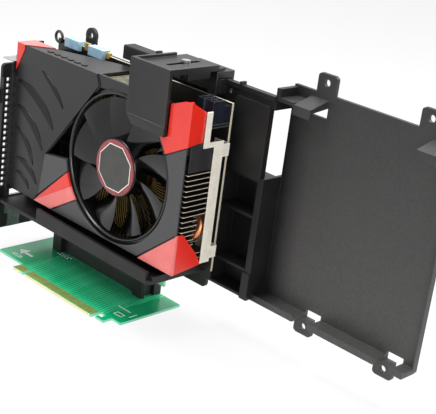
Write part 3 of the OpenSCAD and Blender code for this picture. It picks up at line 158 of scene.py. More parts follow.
def grained(tree, shader, place, grain_mm, depth_mm, edge_mm=0.0):
    """A fine moulded grain as bump, on edges rounded in shading by edge_mm."""
    grain = add_node(tree, "ShaderNodeTexNoise", {"Vector": place, "Scale": cells(grain_mm), "Detail": 4.0})
    relief = {"Height": grain.outputs["Fac"], "Strength": 0.5, "Distance": depth_mm * MM}
    if edge_mm > 0:
        relief["Normal"] = add_node(tree, "ShaderNodeBevel", {"Radius": edge_mm * MM}, samples=6).outputs["Normal"]
    bump = add_node(tree, "ShaderNodeBump", relief)
    tree.links.new(bump.outputs["Normal"], shader.inputs["Normal"])


def moulded(name, low, high, cloud_mm, grain, spread=(0.35, 0.65), **surface):
    """A moulded, painted or printed surface: two close shades in clouds, and a grain of the given size, depth and
    edge radius in millimetres."""
    made, tree, shader = new_finish(name, **surface)
    if tree:
        place, _ = mottled(tree, shader, low, high, cloud_mm, spread)
        grained(tree, shader, place, *grain)
    return made


def metal(name, low, high, rough, cloud_mm, grain_mm, stretch=(1.0, 1.0, 1.0), bare=1.0):
    """A bare or plated metal: two close shades in clouds, with a grain that is brushed where stretch is uneven.
    Where it is tarnished or lacquered, bare is below one."""
    made, tree, shader = new_finish(name, Roughness=rough, Metallic=bare)
    if tree:
        place, _ = mottled(tree, shader, low, high, cloud_mm)
        drawn = add_node(tree, "ShaderNodeMapping", {"Vector": place, "Scale": stretch})
        grain = add_node(tree, "ShaderNodeTexNoise",
                         {"Vector": drawn.outputs["Vector"], "Scale": cells(grain_mm), "Detail": 3.0})
        bump = add_node(tree, "ShaderNodeBump",
                        {"Height": grain.outputs["Fac"], "Strength": 0.4, "Distance": 0.02 * MM})
        tree.links.new(bump.outputs["Normal"], shader.inputs["Normal"])
    return made


def sheet(name, axis, limit, along, other, cloud_mm, tint, relief, **surface):
    """A thin sheet: what looks along the axis, by more than limit, has one colour and its other faces have another.
    Clouds darken both by the share tint and stand out as bump by the share relief."""
    made, tree, shader = new_finish(name, **surface)
    if tree:
        place = add_node(tree, "ShaderNodeTexCoord")
        parts = add_node(tree, "ShaderNodeSeparateXYZ", {"Vector": place.outputs["Normal"]})
        # colour by facing: on the fins this paints highlight on the edges and shade on the faces; on the black board
        # the edges are its real cream core
        away = add_node(tree, "ShaderNodeMath", {0: parts.outputs[axis], 1: 0.0, 2: limit}, operation="COMPARE")
        color = add_node(tree, "ShaderNodeMix", {0: away.outputs[0], 6: paint(along), 7: paint(other)},
                         data_type="RGBA")
        clouds = add_node(tree, "ShaderNodeTexNoise",
                          {"Vector": place.outputs["Object"], "Scale": cells(cloud_mm), "Detail": 3.0})
        dusty = add_node(tree, "ShaderNodeMix", {0: tint, 6: color.outputs[2], 7: clouds.outputs["Color"]},
                         data_type="RGBA", blend_type="MULTIPLY")
        tree.links.new(dusty.outputs[2], shader.inputs["Base Color"])
        bump = add_node(tree, "ShaderNodeBump",
                        {"Height": clouds.outputs["Fac"], "Strength": relief, "Distance": 0.02 * MM})
        tree.links.new(bump.outputs["Normal"], shader.inputs["Normal"])
    return made


def carrier_plastic():
    """Moulded ABS with a spark eroded grain: near black with a soft broad sheen, smoother where hands have worn it,
    and in the open drive tray a grey film, stronger lower down: partly dusty specks, partly painted sheen on the tray
    plate."""
    made, tree, shader = new_finish("moulded_abs_black", Roughness=0.46, IOR=1.53, Specular_IOR_Level=0.36)
    if tree:
        place, color = mottled(tree, shader, "#111112", "#191919", 26.0)
        grained(tree, shader, place, 0.7, 0.05, 0.5)
        parts = add_node(tree, "ShaderNodeSeparateXYZ", {"Vector": place})
        # the film of dusty specks and painted sheen starts at the tray's left end and is strongest 30 mm above the
        # row's foot
        inside = add_node(tree, "ShaderNodeMapRange",
                          {"Value": parts.outputs["X"], "From Min": TRAY_LEFT * MM, "From Max": (TRAY_LEFT + 20) * MM})
        low = add_node(tree, "ShaderNodeMapRange",
                       {"Value": parts.outputs["Z"], "From Min": ROW_TOP * MM, "From Max": 30 * MM,
                        "To Min": 0.35, "To Max": 0.95})
        specks = add_node(tree, "ShaderNodeTexNoise", {"Vector": place, "Scale": cells(1.6), "Detail": 4.0})
        film = add_node(tree, "ShaderNodeMapRange",
                        {"Value": specks.outputs["Fac"], "From Min": 0.3, "From Max": 0.7, "To Min": 0.7})
        share = add_node(tree, "ShaderNodeMath", {0: inside.outputs["Result"], 1: low.outputs["Result"]},
                         operation="MULTIPLY")
        dust_and_sheen = add_node(tree, "ShaderNodeMath", {0: share.outputs[0], 1: film.outputs["Result"]},
                        operation="MULTIPLY")
        # grey mixed in over the tray: painted sheen, flecked with dusty specks
        dusty = add_node(tree, "ShaderNodeMix", {0: dust_and_sheen.outputs[0], 6: color, 7: paint("#4c4c4b")},
                         data_type="RGBA")
        tree.links.new(dusty.outputs[2], shader.inputs["Base Color"])
        wear = add_node(tree, "ShaderNodeTexNoise", {"Vector": place, "Scale": cells(11.11), "Detail": 5.0})
        rough = add_node(tree, "ShaderNodeMapRange",
                         {"Value": wear.outputs["Fac"], "From Min": 0.3, "From Max": 0.7,
                          "To Min": 0.4, "To Max": 0.54})
        tree.links.new(rough.outputs["Result"], shader.inputs["Roughness"])
    return made


def holder_plastic():
    """The sliding holder's ABS, from another mould: black with a finer grain, so it shines a little more."""
    return moulded("moulded_abs_fine", "#121213", "#191919", 20.0, (0.5, 0.03, 0.4),
                   Roughness=0.42, IOR=1.53)


def cover_plastic():
    """Injection moulded ABS with a satin texture: dark grey, smoother than the carrier."""
    return moulded("moulded_abs_satin", "#121213", "#18181a", 30.0, (0.5, 0.02, 0.4),
                   Roughness=0.36, IOR=1.53)


def grey_plastic():
    """Grey painted ABS: a flat mid grey with a fine metallic speck."""
    colors = bpy.context.scene.carrier_colors
    return moulded("painted_abs_grey", colors.grey_low, colors.grey_high, 0.6, (0.5, 0.015, 0.4), (0.4, 0.6),
                   Roughness=0.4, IOR=1.5, Coat_Weight=0.15, Coat_Roughness=0.3)


def red_plastic():
    """Red painted ABS: a warm signal red under a thin satin coat."""
    colors = bpy.context.scene.carrier_colors
    return moulded("painted_abs_red", colors.red_low, colors.red_high, 18.0, (0.5, 0.01, 0.3),
                   Roughness=0.34, IOR=1.5, Coat_Weight=0.4, Coat_Roughness=0.22)


def red_painted_reflection():
    """The same red paint on the facets that lean back, lightened to coral: a painted reflection of the bright
    surroundings on those facets.
    """
    colors = bpy.context.scene.carrier_colors
    return moulded("painted_abs_coral", colors.red_reflection_low, colors.red_reflection_high, 12.0, (0.5, 0.01, 0.3),
                   Roughness=0.34, IOR=1.5)


def gloss_black():
    """Raised ribs and pads of black ABS: blacker than the textured surface round them, with a weak shine."""
    return moulded("polished_abs_black", "#050505", "#080808", 9.0, (1.2, 0.008, 0.15),
                   Roughness=0.28, IOR=1.53, Specular_IOR_Level=0.22)


def badge_grey():
    """Printed and lacquered badge face: dark grey with a hint of green, quite flat."""
    return moulded("printed_badge_grey", "#363833", "#3f413c", 8.0, (0.8, 0.006, 0.2),
                   Roughness=0.38, IOR=1.49)


def badge_cream():
    """The thin printed line round the badge: warm white lacquer."""
    return moulded("printed_line_cream", "#e6d8d0", "#f2e6de", 4.0, (0.8, 0.006),
                   Roughness=0.4, IOR=1.49)


def badge_red():
    """The badge's rim: dark wine red lacquer with a bright gloss."""
    return moulded("lacquered_rim_red", "#7c1c26", "#96303a", 6.0, (0.8, 0.006),
                   Roughness=0.24, IOR=1.5, Coat_Weight=0.5, Coat_Roughness=0.1)


def silkscreen():
    """White silkscreen ink on the riser: slightly uneven where the screen's mesh left it."""
    return moulded("silkscreen_ink_white", "#f0fff8", "#ffffff", 0.8, (0.3, 0.01),
                   Roughness=0.5, IOR=1.5)


def cream_laminate():
    """The bare edge of the laminate where the tab is bevelled: pale yellow glass fibre."""
    return moulded("bevelled_laminate_edge", "#fbe9a0", "#fff6cc", 0.9, (0.3, 0.02),
                   Roughness=0.5, IOR=1.5)


def fan_plastic():
    """Glass filled PBT, polished mould: black and glossy, so the blades catch long highlights."""
    return moulded("moulded_pbt_gloss", "#060607", "#0a0a0b", 14.0, (1.6, 0.01),
                   Roughness=0.15, IOR=1.57, Specular_IOR_Level=0.36)


def ring_plastic():
    """The fan's ring, polished but unfilled: deep black, with a thin bright line along its lip."""
    return moulded("moulded_pbt_ring", "#0e0e10", "#161618", 14.0, (1.6, 0.01),
                   Roughness=0.2, IOR=1.57)


def slot_plastic():
    """Glass filled nylon of slots and sockets: matte black."""
    return moulded("moulded_nylon_black", "#1c1c1d", "#262627", 6.0, (0.5, 0.03, 0.25),
                   Roughness=0.5, IOR=1.53)


def connector_plastic():
    """Nylon power connector: blue black with a soft gloss."""
    return moulded("moulded_nylon_blue_black", "#10131a", "#1a202c", 5.0, (0.8, 0.02, 0.35),
                   Roughness=0.3, IOR=1.53)


def cap_rubber():
    """Soft PVC covers on the card's upper contacts: pale blue, softly lit from inside."""
    return moulded("soft_pvc_blue", "#9cc8e4", "#b6d8ec", 5.0, (1.0, 0.03, 0.5),
                   Roughness=0.42, IOR=1.5, Subsurface_Weight=0.25, Subsurface_Scale=0.002)


def chip_epoxy():
    """Moulded epoxy chip packages: charcoal, matte, faintly speckled by filler."""
    return moulded("moulded_epoxy", "#202123", "#2a2b2d", 0.6, (0.4, 0.02, 0.2),
                   Roughness=0.55, IOR=1.55)


def gold():
    """Hard gold flash over nickel: warm, fairly smooth, slightly scratched along the way of insertion."""
    return metal("plated_gold", "#e0ac48", "#f0c868", 0.34, 3.0, 0.3, (1.0, 0.1, 0.1), 0.7)


def steel():
    """Zinc plated sheet steel: cool grey with a soft blotchy crystal pattern."""
    return metal("plated_steel", "#b4b6ba", "#cbccce", 0.3, 2.4, 0.35)


def solder():
    """Tin solder: bright silver beads, smooth."""
    return metal("tin_solder", "#c8ccd0", "#e2e4e6", 0.22, 1.5, 0.4)


def pressed_plate():
    """Nickel plated stiffener plate, lacquered: nearly white where it faces the light."""
    return metal("plated_nickel_warm", "#ece5d6", "#f7f1e4", 0.45, 5.0, 0.4, (1.0, 1.0, 0.15), 0.1)


def copper():
    """Drawn copper tube and core: orange with faint browner bands from brazing."""
    return metal("drawn_copper", "#c8744a", "#e89c6c", 0.28, 4.0, 0.4, bare=0.85)


def fin_metal():
    """Stamped aluminium fins: edges painted bright as highlight, faces painted dark as the shade deep between the
    fins.
    """
    return sheet("stamped_aluminium", "Z", 0.7, "#2e2a25", "#e6dac6", 5.556, 0.15, 0.3, Roughness=0.34, Metallic=0.35)


def corner_metal():
    """The fins outside the fan's ring, seen at their front edges through the brow: the same aluminium, edges painted
    bright as highlight, broad faces painted darker as shade.
    """
    return sheet("stamped_aluminium_corner", "X", 0.7, "#6a6250", "#f4ecd2", 5.556, 0.15, 0.3,
                 Roughness=0.34, Metallic=0.3)


def copper_fins():
    """Brass coloured fins under the fan: their front edges painted bright as the light they catch, their faces painted
    dark as the shade between them.
    """
    return sheet("brass_fin_sheet", "Y", 0.5, "#f6d890", "#5a4426", 6.25, 0.2, 0.0, Roughness=0.32, Metallic=0.5)


def board_black():
    """Black solder mask on cream laminate: the faces are black and glossy, the cut edges show the cream core."""
    return sheet("laminate_black_mask", "Y", 0.5, "#17181a", "#cfc8b2", 1.111, 0.0, 0.3, Roughness=0.33, IOR=1.5)


def seen_by(tree, first, *others):
    """One where a ray of the named kinds looks, and zero for all other light."""
    rays = add_node(tree, "ShaderNodeLightPath")
    seen = rays.outputs[f"Is {first} Ray"]
    for kind in others:
        inputs = {0: seen, 1: rays.outputs[f"Is {kind} Ray"]}
        seen = add_node(tree, "ShaderNodeMath", inputs, operation="MAXIMUM").outputs[0]
    return seen


# traces on the riser drift 1 mm left for each 7 mm they run back; real ones lie 0.6 mm apart, these as far as shows
TRACE_DRIFT, TRACE_PITCH = 0.14, 2.3
# the tab's middle, and how far from it the traces reach
TAB_MIDDLE, TRACE_REACH = 45.0, 44.0


def board_green():
    """Glass fibre laminate under green solder mask: lighter traces run under the gloss from the fingers to the slot,
    and the cut edges are pale mint."""
    made, tree, shader = new_finish("laminate_green_mask", Roughness=0.3, IOR=1.5,
                                    Coat_Weight=0.3, Coat_Roughness=0.12)
    if tree:
        colors = bpy.context.scene.carrier_colors
        place = add_node(tree, "ShaderNodeTexCoord")
        parts = add_node(tree, "ShaderNodeSeparateXYZ", {"Vector": place.outputs["Object"]})
        drift = add_node(tree, "ShaderNodeMath", {0: parts.outputs["Y"], 1: TRACE_DRIFT}, operation="MULTIPLY")
        line = add_node(tree, "ShaderNodeMath", {0: parts.outputs["X"], 1: drift.outputs[0]}, operation="ADD")
        cell = add_node(tree, "ShaderNodeMath", {0: line.outputs[0], 1: cells(TRACE_PITCH)}, operation="MULTIPLY")
        wave = add_node(tree, "ShaderNodeMath", {0: cell.outputs[0], 1: 0.5}, operation="PINGPONG")
        groups = add_node(tree, "ShaderNodeTexNoise", {"W": cell.outputs[0], "Scale": 0.3, "Detail": 1.0},
                          noise_dimensions="1D")
        width = add_node(tree, "ShaderNodeMapRange",
                         {"Value": groups.outputs["Fac"], "From Min": 0.35, "From Max": 0.65,
                          "To Min": 0.12, "To Max": 0.3})
        trace = add_node(tree, "ShaderNodeMath", {0: wave.outputs[0], 1: width.outputs["Result"]},
                         operation="LESS_THAN")
        within = add_node(tree, "ShaderNodeMath",
                          {0: parts.outputs["X"], 1: (ZERO[0] + TAB_MIDDLE) * MM, 2: TRACE_REACH * MM},
                          operation="COMPARE")
        laid = add_node(tree, "ShaderNodeMath", {0: trace.outputs[0], 1: within.outputs[0]}, operation="MULTIPLY")
        mask = add_node(tree, "ShaderNodeMix", {0: laid.outputs[0], 6: colors.mask, 7: colors.trace},
                        data_type="RGBA")
        clouds = add_node(tree, "ShaderNodeTexNoise",
                          {"Vector": place.outputs["Object"], "Scale": cells(28.57), "Detail": 2.0})
        tinted = add_node(tree, "ShaderNodeMix", {0: 0.12, 6: mask.outputs[2], 7: clouds.outputs["Color"]},
                          data_type="RGBA", blend_type="MULTIPLY")
        sides = add_node(tree, "ShaderNodeSeparateXYZ", {"Vector": place.outputs["Normal"]})
        rim = add_node(tree, "ShaderNodeMath", {0: sides.outputs["Z"], 1: 0.0, 2: 0.4}, operation="COMPARE")
        color = add_node(tree, "ShaderNodeMix", {0: rim.outputs[0], 6: tinted.outputs[2], 7: paint("#8ce6c2")},
                         data_type="RGBA")
        tree.links.new(color.outputs[2], shader.inputs["Base Color"])
        bump = add_node(tree, "ShaderNodeBump",
                        {"Height": laid.outputs[0], "Strength": 0.6, "Distance": 0.035 * MM})
        tree.links.new(bump.outputs["Normal"], shader.inputs["Normal"])
    return made


def loft(loops, closed=False):
    """Skin over a stack of closed loops (loops, points, xyz): quads join neighbours.
    The ends get a face each, or the last loop joins the first."""
    count, size = loops.shape[:2]
    index = np.arange(count * size).reshape(count, size)
    ahead = np.roll(index, -1, axis=1)
    after, after_ahead = np.roll(index, -1, axis=0), np.roll(ahead, -1, axis=0)
    rows = count if closed else count - 1
    quads = np.stack([index, ahead, after_ahead, after], axis=-1)[:rows].reshape(-1, 4)
    ends = [] if closed else [index[:1, ::-1], index[-1:]]
    return loops.reshape(-1, 3), [quads, *ends]


def prism(outline, axis, low, high):
    """A flat outline carried straight along X, Y or Z (axis 0, 1, 2) from low to high."""
    flat = np.asarray(outline, dtype=float)
    return loft(np.stack([np.insert(flat, axis, place, axis=1) for place in (low, high)]))


def brick(low, high):
    """A bar between two corners."""
    (x0, y0, z0), (x1, y1, z1) = low, high
    return prism([(x0, y0), (x1, y0), (x1, y1), (x0, y1)], 2, z0, z1)


def turned(profile, count=96):
    """A closed profile of (radius, y) turned about the fan's axis: x and z are radius times cosine and sine."""
    radius, depth = np.asarray(profile, dtype=float).T
    angle = np.linspace(0, 2 * np.pi, count, endpoint=False)[:, None]
    rings = np.broadcast_arrays(FAN_X + radius * np.cos(angle), depth, FAN_Z + radius * np.sin(angle))
    return loft(np.stack(rings, axis=-1), closed=True)


def tube(path, radius, sides=20, flat=(0.0, 1.0, 0.0), closed=False):
    """A round pipe: at each point of a path that lies in a plane, a circle spanned by that plane's normal
    and the normal's cross product with the path."""
    path = np.asarray(path, dtype=float)
    along = np.roll(path, -1, axis=0) - np.roll(path, 1, axis=0) if closed else np.gradient(path, axis=0)
    along /= np.linalg.norm(along, axis=1, keepdims=True)
    up = np.broadcast_to(np.array(flat) / np.linalg.norm(flat), along.shape)
    side = np.cross(along, up)
    angle = np.linspace(0, 2 * np.pi, sides, endpoint=False)[:, None]
    return loft(path[:, None] + radius * (np.cos(angle) * side[:, None] + np.sin(angle) * up[:, None]), closed)


def ring_points(middle, depth, radius, angle):
    """Points on an arc in the X-Z plane: middle plus radius times cosine and sine, at a depth that may vary."""
    points = np.broadcast_arrays(middle[0] + radius * np.cos(angle), depth, middle[1] + radius * np.sin(angle))
    return np.stack(points, axis=-1)


# the blade starts a little inside the hub and keeps clear of the ring's depth
BLADE_ROOT, BLADE_INSET = HUB_R - 0.8, 2.6
# in degrees: how far the tip lags behind the root, the root's arc, and how much wider the tip's arc is
BLADE_LAG, BLADE_ARC, BLADE_FLARE = 9.0, 31.0, 5.0
# how far the arc bows forward, and half the blade's thickness at its edges and what its middle adds
BLADE_CAMBER, BLADE_EDGE, BLADE_SWELL = 1.1, 0.22, 0.45


def fan_blade(turn):
    """One blade: arcs at even radii, each from the leading edge in front to the trailing edge behind, bowed between
    them and thinnest at both edges. Outwards the arc widens and lags behind, so the blade is steep at the hub and
    flat at the tip."""
    out, across = np.meshgrid(np.linspace(0, 1, 12), np.linspace(0, 1, 11), indexing="ij")
    radius = BLADE_ROOT + (BLADE_R - BLADE_ROOT) * out
    angle = turn - np.radians(BLADE_LAG) * out**1.6 + np.radians(BLADE_ARC + BLADE_FLARE * out) * (across - 0.5)
    bow = 1 - (2 * across - 1) ** 2
    slope = (BLADE_BACK - BLADE_FRONT - BLADE_INSET) * (0.5 - across)
    middle = (BLADE_FRONT + BLADE_BACK) / 2 + slope - BLADE_CAMBER * bow * (0.4 + out)
    half = BLADE_EDGE + BLADE_SWELL * bow * (1.2 - 0.5 * out)
    front = ring_points((FAN_X, FAN_Z), middle - half, radius, angle)
    back = ring_points((FAN_X, FAN_Z), middle + half, radius, angle)
    return loft(np.concatenate([front, back[:, ::-1]], axis=1))


def bead_at(x, y, profile):
    """A small dome: a profile of (radius, height) turned about an upright axis at x, y."""
    radius, height = np.array(profile).T[:, :, None]
    angle = np.linspace(0, 2 * np.pi, 10, endpoint=False)
    rings = np.broadcast_arrays(x + radius * np.cos(angle), y + radius * np.sin(angle), height)
    return loft(np.stack(rings, axis=-1))


def frame_mark(x, y, wide, deep, line):
    """Four bars that draw a plain open rectangle: the low and high corner of each."""
    right, back = x + wide, y + deep
    return [((x, y), (right, y + line)), ((x, back - line), (right, back)),
            ((x, y + line), (x + line, back - line)), ((right - line, y + line), (right, back - line))]


def many_sided(radius, count=8):
    """Corners of a polygon with a flat top, about the fan's axis."""
    angle = (np.arange(count) + 0.5) * 2 * np.pi / count
    return np.stack([FAN_X + radius * np.cos(angle), FAN_Z + radius * np.sin(angle)], axis=-1)


def swept_rib(middle, radius, first, last, width, face_y, height=0.4, root=0.3):
    """A raised rib on an arc: its width swells as a power of a sine from nothing at both ends, its flat top stands
    height in front of face_y, and its foot lies root behind it."""
    share = np.linspace(0.02, 0.98, 26)
    angle = np.radians(first + (last - first) * share)
    half = width / 2 * np.sin(np.pi * share) ** 0.7
    section = ((-1.0, face_y + root), (-0.8, face_y - height), (0.8, face_y - height), (1.0, face_y + root))
    return loft(np.stack([ring_points(middle, depth, radius + reach * half, angle)
                          for reach, depth in section], axis=1))


# corners closer than this are one, and edges sharper than this stay sharp
WELD = 0.002 * MM
CREASE = math.radians(35.0)


def close_mesh(mesh, weld=False):
    """Turns all faces of a closed mesh outwards, and welds doubles first where asked."""
    shell = bmesh.new()
    shell.from_mesh(mesh)
    if weld:
        bmesh.ops.remove_doubles(shell, verts=shell.verts, dist=WELD)
        bmesh.ops.dissolve_limit(shell, angle_limit=math.radians(1.0), verts=shell.verts, edges=shell.edges)
    bmesh.ops.recalc_face_normals(shell, faces=shell.faces)
    shell.to_mesh(mesh)
    shell.free()


def set_piece(mesh, name, finish, body, bevel, replaced):
    """Makes an object of a mesh, gives it a finish, rounds its edges by bevel millimetres and lets it ride on a
    CAD body in place of the nodes named."""
    mesh.materials.clear()
    mesh.materials.append(finish())
    mesh.shade_smooth()
    mesh.set_sharp_from_angle(angle=CREASE)
    piece = bpy.data.objects.new(name, mesh)
    bpy.context.scene.collection.objects.link(piece)
    if bevel:
        rounding = piece.modifiers.new("rounding", "BEVEL")
        rounding.width = bevel * MM
        rounding.segments = 2
        rounding.limit_method = "ANGLE"
        rounding.angle_limit = CREASE
    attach(piece, body)
    if replaced:
        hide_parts(*replaced)


def make_piece(name, parts, finish, body="base", bevel=0.0, replaced=()):
    """Joins parts, each points in the drawing's millimetres and arrays of faces, into one piece."""
    starts = np.cumsum([0] + [len(points) for points, _ in parts])
    faces = [face for start, (_, arrays) in zip(starts, parts)
             for array in arrays for face in (array + start).tolist()]
    points = from_drawing(*np.concatenate([points for points, _ in parts]).T) * MM
    mesh = bpy.data.meshes.new(name)
    mesh.from_pydata(points.tolist(), [], faces)
    close_mesh(mesh)
    set_piece(mesh, name, finish, body, bevel, replaced)


def soft_copy(node, finish, slot, body, bevel):
    """A copy of a CAD node with its triangles welded into flats and its edges rounded, in place of the node."""
    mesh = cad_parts[node].data.copy()
    close_mesh(mesh, weld=True)
    set_piece(mesh, node + "_rounded", finish, body, bevel, (node,))


def half_copy(node, suffix, point, normal, finish, replace):
    """The part of a red accent behind a plane through a drawing point, cut off and closed."""
    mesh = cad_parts[node].data.copy()
    shell = bmesh.new()
    shell.from_mesh(mesh)
    bmesh.ops.remove_doubles(shell, verts=shell.verts, dist=WELD)
    everything = shell.verts[:] + shell.edges[:] + shell.faces[:]
    place = from_drawing(*point) * MM
    cut = bmesh.ops.bisect_plane(shell, geom=everything, plane_co=place, plane_no=normal, clear_outer=True)
    rim = [item for item in cut["geom_cut"] if isinstance(item, bmesh.types.BMEdge)]
    bmesh.ops.edgeloop_fill(shell, edges=rim)
    shell.to_mesh(mesh)
    shell.free()
    close_mesh(mesh, weld=True)
    set_piece(mesh, node + suffix, finish, "base", 0.12, (node,) if replace else ())


# the CAD nodes that each finish goes on
FINISHES = {
    carrier_plastic: ("carrier",),
    holder_plastic: ("holder_saddle", "holder_hook"),
    cover_plastic: ("cover_shell",),
    grey_plastic: ("panel_left", "panel_right"),
    red_plastic: ("accent_top_left", "accent_bottom_left", "accent_top_right", "accent_bottom_right"),
    fan_plastic: ("fan_frame", "fan_rotor", "hub_badge"),
    slot_plastic: ("riser_slot", "card_slot", "slot_latch"),
    connector_plastic: ("power_connector", "display_sockets"),
    cap_rubber: ("link_caps",),
    chip_epoxy: ("processor", "memory_chips", "coil_chokes"),
    board_green: ("riser_board", "link_board"),
    board_black: ("card_board",),
    gold: ("riser_fingers", "card_fingers"),
    copper: ("heatsink_core", "heat_pipes", "fan_stator"),
    copper_fins: ("radial_fins",),
    fin_metal: ("side_fins",),
    pressed_plate: ("stiffener_plate",),
    steel: ("capacitors", "power_pins", "fan_shaft", "slot_bracket", "cooler_screws", "cover_screws",
            "bracket_screws", "holder_screw"),
}

# node, finish, slot, body and bevel in millimetres of each solid that is shown with rounded edges
ROUNDED = (
    ("cover_shell", cover_plastic, "cover_black", "base", 0.35),
    ("panel_left", grey_plastic, "cover_grey", "base", 0.25),
    ("panel_right", grey_plastic, "cover_grey", "base", 0.25),
    ("accent_top_right", red_plastic, "accent_red", "base", 0.15),
    ("holder_hook", holder_plastic, "carrier_plastic", "hook", 0.5),
    ("holder_saddle", holder_plastic, "carrier_plastic", "saddle", 0.4),
    ("power_connector", connector_plastic, "connector", "base", 0.2),
    ("stiffener_plate", pressed_plate, "plate_silver", "base", 0.15),
    ("link_caps", cap_rubber, "cap_blue", "base", 0.5),
)

# plain ribs on the left panel: middle and radius of the arc, its two ends in degrees, and its width
RIBS = (
    ((-34.0, 66.0), 58.0, 35.0, 84.0, 8.5), ((-38.0, 62.0), 46.0, 26.0, 76.0, 7.0),
    ((-40.0, 58.0), 36.0, 18.0, 68.0, 5.5), ((-30.0, 76.0), 66.0, 38.0, 66.0, 4.5),
    ((-24.0, 42.0), 28.0, 32.0, 92.0, 5.5), ((-24.0, 42.0), 18.0, 30.0, 92.0, 3.8),
)

# place in the drawing and turn in degrees that give the photograph's view and its lean
CAMERA_PLACE = (574.464, -427.896, 322.294)
CAMERA_TURN = (69.59863, -7.07909, 45.13401)
# each lamp's place and side in metres, and the setting that holds its power
LAMPS = (
    ("key_softbox", (-0.1, 0.05, 1.1), 0.7, "key_power"),
    ("fill_softbox", (1.1, -0.55, 0.35), 0.6, "fill_power"),
    ("rim_softbox", (0.2, 0.8, 0.7), 0.6, "rim_power"),
    ("front_softbox", (-0.3, -0.8, 1.2), 0.5, "front_power"),
)
LAMP_AIM = (0.0, 0.0, 0.08)


def size(name, description, default, least):
    """A length setting in metres."""
    return bpy.props.FloatProperty(name=name, description=description, default=default, min=least, unit="LENGTH")


def power(name, description, default):
    """A lamp's power setting in watts."""
    return bpy.props.FloatProperty(name=name, description=description, default=default, min=0.0, unit="POWER")


def shade(name, description, code):
    """A colour setting, from an sRGB hex colour."""
    return bpy.props.FloatVectorProperty(name=name, description=description, default=paint(code), size=4,
                                         subtype="COLOR", min=0.0, max=1.0)


class CarrierColorSettings(bpy.types.PropertyGroup):
    """Colours of the paints, of the painted reflection on the red accents, and of the riser's solder mask"""

    red_low: shade("Red, darker", "Darker shade of the red paint", "#e01e0e")
    red_high: shade("Red, lighter", "Lighter shade of the red paint", "#e62816")
    # coral: the red lightened where a facet catches a reflection, a painted reflection
    red_reflection_low: shade("Coral, darker", "Darker shade of the red's painted reflection", "#e4706c")
    red_reflection_high: shade("Coral, lighter", "Lighter shade of the red's painted reflection", "#ea7e7a")
    grey_low: shade("Grey, darker", "Darker speck of the grey panels", "#38383a")
    grey_high: shade("Grey, lighter", "Lighter speck of the grey panels", "#404042")
    mask: shade("Solder mask", "The riser's green", "#0cb878")
    trace: shade("Traces", "The green over the riser's copper traces", "#4cecaa")


class CarrierFanSettings(bpy.types.PropertyGroup):
    """Number and place of the fan's blades"""

    blade_count: bpy.props.IntProperty(name="Blades", description="Number of fan blades", default=9, min=3)
    first_blade: bpy.props.FloatProperty(
        name="First blade", description="Place of the first blade round the hub", default=math.radians(18.0),
        subtype="ANGLE", unit="ROTATION")


class CarrierCoolerSettings(bpy.types.PropertyGroup):
    """Spacing and sheet of the cooler's fins"""

    fin_pitch: size("Fin pitch", "From one flat fin to the next", 0.0033, 0.001)
    spoke_count: bpy.props.IntProperty(
        name="Curved fins", description="Number of fins round the heatsink's core", default=96, min=12)
    fin_thickness: size("Fin thickness", "Sheet thickness of a flat fin", 0.0005, 0.0002)


class CarrierRiserSettings(bpy.types.PropertyGroup):
    """Spacing of the riser's contacts"""

    pad_pitch: size("Pad pitch", "From one contact pad to the next", 0.001, 0.0005)


class CarrierStageSettings(bpy.types.PropertyGroup):
    """Floor, lamps and lens"""

    floor_size: size("Floor size", "Side of the pale floor", 14.0, 1.0)
    key_power: power("Key light", "Power of the large soft light", 15.0)
    fill_power: power("Fill light", "Power of the light beside the camera", 5.0)
    rim_power: power("Rim light", "Power of the light behind the tray", 5.0)
    front_power: power("Front light", "Power of the light in front of the riser", 6.5)
    lens: bpy.props.FloatProperty(
        name="Lens", description="Focal length on a 36 mm sensor", default=92.93, min=10.0, unit="CAMERA")


class CARRIER_OT_finish_solids(bpy.types.Operator):
    """Give every solid of the carrier, card, cooler and riser its own finish"""

    bl_idname = "carrier.finish_solids"
    bl_label = "Finish the solid parts"

    def execute(self, context):
        for finish, nodes in FINISHES.items():
            for node in nodes:
                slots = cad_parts[node].data.materials
                slots.clear()
                slots.append(finish())
        return {"FINISHED"}


